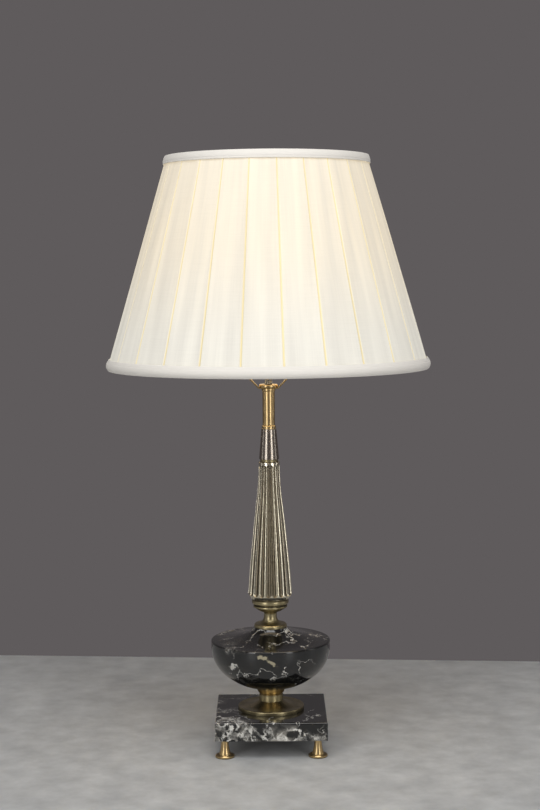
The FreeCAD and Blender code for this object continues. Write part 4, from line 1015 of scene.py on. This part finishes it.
class LAMP_OT_wire_frame(bpy.types.Operator):
    """Enamelled wire frame of the shade: rings, struts and spider"""
    bl_idname = "lamp.wire_frame"
    bl_label = "Wire frame"
    ring_wire: length("Rings", "Radius of the rings' wire", 1.6)
    strut_wire: length("Struts", "Radius of the struts' wire", 1.2)
    arm_wire: length("Arms", "Radius of the spider's arms", 1.5)
    struts: IntProperty(name="Struts", description="Number of struts", default=6, min=3, max=12)

    def execute(self, context):
        base = shade_base()
        for name, height in (("low", LOW_RING), ("high", HIGH_RING)):
            bm = bmesh.new()
            line = ring_line(fold_radius(height) - WIRE_DEPTH, base + height)
            add_wire(bm, line, self.ring_wire, True)
            self.make_white(f"shade_{name}_ring_wire", bm, f"shade_{name}_ring")
        bm = bmesh.new()
        gap = self.ring_wire + 0.1 * MM
        for strut in range(self.struts):
            swing = Matrix.Rotation(FULL_TURN * strut / self.struts, 3, "Z")
            ends = [swing @ Vector((fold_radius(height) - WIRE_DEPTH, 0, base + height))
                    for height in (LOW_RING + gap, HIGH_RING - gap)]
            add_wire(bm, ends, self.strut_wire)
        self.make_white("shade_struts_wire", bm, "shade_struts")
        self.make_spider(base)
        return {"FINISHED"}

    def make_white(self, name, bm, node):
        """A piece of the frame, which is white all over."""
        make_piece(name, bm, white_enamel(), "shade", "frame_white", node)

    def make_spider(self, base):
        """Washer with a round hole, and three wires welded to it that rise to the upper ring."""
        hub, hole, thick = 12.0 * MM, 3.4 * MM, 1.6 * MM
        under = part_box("shade_spider")[0].z
        bm = closed_outline(((hole, under), (hub, under), (hub, under + thick),
                             (hole, under + thick)))
        spin(bm, 64)
        ease_edges(bm, 0.3 * MM)
        end = fold_radius(HIGH_RING) - WIRE_DEPTH - self.ring_wire
        welded = under + thick + 0.6 * MM
        for arm in range(3):
            swing = Matrix.Rotation(math.pi / 2 + FULL_TURN * arm / 3, 3, "Z")
            corners = [(Vector((7 * MM, 0, welded)), 0), (Vector((13 * MM, 0, welded)), 12 * MM),
                       (Vector((end, 0, base + HIGH_RING)), 0)]
            add_wire(bm, [swing @ point for point in bent_line(corners)], self.arm_wire)
        self.make_white("shade_spider_welded", bm, "shade_spider")


class LAMP_OT_finial(bpy.types.Operator):
    """Turned finial"""
    bl_idname = "lamp.finial"
    bl_label = "Finial"

    def execute(self, context):
        turned_piece("finial_turned", "finial", golden_brass(), "golden_brass", body="finial",
                     steps=72, ease=0.15 * MM)
        return {"FINISHED"}


# ---- Socket, switch and bulb -----------------------------------------------------------------

SCREW_PITCH = 3.63 * MM     # of the 26 mm Edison screw
KNOB_SECTION = math.radians(15)     # where the knob is cut for its outline, between two ribs


class LAMP_OT_socket(bpy.types.Operator):
    """Socket's cap, shell, thread and moulded body"""
    bl_idname = "lamp.socket"
    bl_label = "Socket"

    def execute(self, context):
        turned_piece("socket_cap_spun", "socket_cap", harp_brass(), "harp_brass", ease=0.2 * MM)
        low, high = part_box("socket_thread")
        turned_piece("socket_thread_rolled", "socket_thread", nickel(), "nickel_thread",
                     ease=0, rows=((low.z, high.z, 0.45 * MM),))
        refinish(fibre_board(), "socket_sleeve")
        refinish(nickel(), "socket_contact")
        refinish(harp_brass(), "socket_shell", "terminal_screws")
        refinish(phenolic(), "socket_body")
        return {"FINISHED"}


class LAMP_OT_switch(bpy.types.Operator):
    """Rotary switch: ribbed knob on its shaft"""
    bl_idname = "lamp.switch"
    bl_label = "Switch"
    ribs: IntProperty(name="Ribs", description="Number of ribs round the knob", default=12,
                      min=6, max=40)

    def execute(self, context):
        low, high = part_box("switch_knob")
        place = Matrix.Translation((0, high.y, (low.z + high.z) / 2))
        place = place @ Matrix.Rotation(math.pi / 2, 4, "X")
        deep, row, shaft = 16 * MM, 1.5 * MM, 3 * MM
        turned_piece("switch_knob_moulded", "switch_knob", phenolic(), "switch_black",
                     body="switch", place=place, section=KNOB_SECTION,
                     rows=((0, deep, row, shaft),), shape=self.rib, ease=0.2 * MM)
        refinish(zinc_steel(), "switch_shaft")
        return {"FINISHED"}

    def rib(self, bm):
        """Round grooves between the knob's ribs."""
        core, depth = 4.2 * MM, 0.8 * MM
        for vert in bm.verts:
            radius = vert.co.xy.length
            if radius > core:
                angle = math.atan2(vert.co.y, vert.co.x) + KNOB_SECTION
                groove = max(math.cos(angle * self.ribs), 0) ** 2
                vert.co.xy *= 1 - depth * groove / radius


class LAMP_OT_bulb(bpy.types.Operator):
    """Frosted globe bulb with its screw cap"""
    bl_idname = "lamp.bulb"
    bl_label = "Bulb"

    def execute(self, context):
        turned_piece("bulb_glass_blown", "bulb_glass", frosted_glass(), "frosted_glass",
                     body="bulb", steps=96, ease=0)
        low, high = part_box("bulb_cap")
        start, end, inside = low.z + 4 * MM, high.z - 1.5 * MM, 12 * MM
        turned_piece("bulb_cap_rolled", "bulb_cap", nickel(), "nickel_thread", body="bulb",
                     ease=0, rows=((low.z, high.z, 0.4 * MM, inside),),
                     shape=lambda bm: cut_thread(bm, start, end, SCREW_PITCH, 0.8 * MM, inside))
        turned_piece("bulb_contact_pressed", "bulb_contact", nickel(), "nickel_thread",
                     body="bulb", steps=48)
        refinish(phenolic(), "bulb_insulator")
        return {"FINISHED"}


# ---- Stage -----------------------------------------------------------------------------------

class LAMP_OT_stage(bpy.types.Operator):
    """Pale counter, backdrop colour, soft lights and the camera"""
    bl_idname = "lamp.stage"
    bl_label = "Stage"

    def execute(self, context):
        sizes = context.scene.lamp_stage
        self.make_counter(sizes)
        world = bpy.data.worlds.new("Backdrop")
        world.use_nodes = True
        context.scene.world = world
        background = world.node_tree.nodes["Background"]
        background.inputs["Color"].default_value = sizes.backdrop
        context.scene.view_settings.view_transform = "Standard"
        away, high, aim = 1.7, 0.75, Vector((0, 0, 0.5))
        for name, aside, share, across, tall in (
            ("Left", -36, 1.0, 0.36, 1.4), ("Right", 36, 0.93, 0.36, 1.4),
            ("Far left", -86, 0.15, 0.2, 1.2), ("Far right", 86, 0.2, 0.2, 1.2),
        ):
            turned = math.radians(aside)
            place = Vector((away * math.sin(turned), -away * math.cos(turned), high))
            self.add_light(name, place, aim, sizes.key * share, across, tall)
        self.add_light("Overhead", Vector((0, -0.9, 1.9)), Vector((0, 0, 0.3)), sizes.top,
                       1.5, 1.0)
        self.add_camera(context, sizes)
        return {"FINISHED"}

    def make_counter(self, sizes):
        """Honed stone counter with a rounded back edge."""
        bm = bmesh.new()
        bmesh.ops.create_cube(bm, size=1.0)
        wide, deep, thick = 3.6, 2.4, 0.05
        bmesh.ops.scale(bm, vec=(wide, deep, thick), verts=bm.verts)
        bmesh.ops.translate(bm, vec=(0, sizes.counter_back - deep / 2, -thick / 2),
                            verts=bm.verts)
        ease_edges(bm, 4 * MM)
        bmesh.ops.rotate(bm, matrix=Matrix.Rotation(sizes.counter_turn, 3, "Z"), verts=bm.verts)
        stone = mottled("Honed counter", sizes.counter, linear("#8F9192"), 40.0, 0.45, 0.05)
        counter = solid_object("counter", bm, stone)

    def add_light(self, name, place, target, power, across, tall):
        """Soft rectangular light that faces a target."""
        lamp = bpy.data.lights.new(name, "AREA")
        lamp.shape = "RECTANGLE"
        lamp.size = across
        lamp.size_y = tall
        lamp.energy = power
        light = add_object(name, lamp)
        light.location = place
        light.rotation_euler = (target - place).to_track_quat("-Z", "Y").to_euler()

    def add_camera(self, context, sizes):
        """Camera at the photo's viewing angle."""
        camera = bpy.data.cameras.new("Camera")
        camera.lens = sizes.lens
        camera.sensor_width = 36.0
        camera.clip_start = 0.05
        eye = add_object("Camera", camera)
        eye.location = (sizes.camera_aside, -sizes.camera_back, sizes.camera_height)
        level = Matrix.Rotation(math.pi / 2 - sizes.pitch, 4, "X")
        eye.rotation_euler = (level @ Matrix.Rotation(-sizes.roll, 4, "Z")).to_euler()
        context.scene.camera = eye


# ---- Panel and registration ------------------------------------------------------------------

OPERATORS = (
    LAMP_OT_feet, LAMP_OT_marble, LAMP_OT_hardware, LAMP_OT_turnings, LAMP_OT_column,
    LAMP_OT_harp, LAMP_OT_wire_frame, LAMP_OT_cover, LAMP_OT_trims, LAMP_OT_finial,
    LAMP_OT_socket, LAMP_OT_switch, LAMP_OT_bulb, LAMP_OT_stage,
)


class LAMP_PT_pieces(bpy.types.Panel):
    """Lists the lamp's pieces and settings"""
    bl_label = "Table Lamp"
    bl_idname = "LAMP_PT_pieces"
    bl_space_type = "VIEW_3D"
    bl_region_type = "UI"
    bl_category = "Table Lamp"

    def draw(self, context):
        for operator in OPERATORS:
            self.layout.operator(operator.bl_idname)
        for name, settings in SETTINGS.items():
            box = self.layout.box()
            for setting in settings.__annotations__:
                box.prop(getattr(context.scene, name), setting)


def register():
    for settings in SETTINGS.values():
        bpy.utils.register_class(settings)
    for name, settings in SETTINGS.items():
        setattr(bpy.types.Scene, name, PointerProperty(type=settings))
    for operator in OPERATORS:
        bpy.utils.register_class(operator)
    bpy.utils.register_class(LAMP_PT_pieces)


def unregister():
    bpy.utils.unregister_class(LAMP_PT_pieces)
    for operator in reversed(OPERATORS):
        bpy.utils.unregister_class(operator)
    for name in SETTINGS:
        delattr(bpy.types.Scene, name)
    for settings in reversed(SETTINGS.values()):
        bpy.utils.unregister_class(settings)


def main():
    register()
    for operator in OPERATORS:
        group, name = operator.bl_idname.split(".")
        getattr(getattr(bpy.ops, group), name)()


if __name__ == "__main__":
    main()
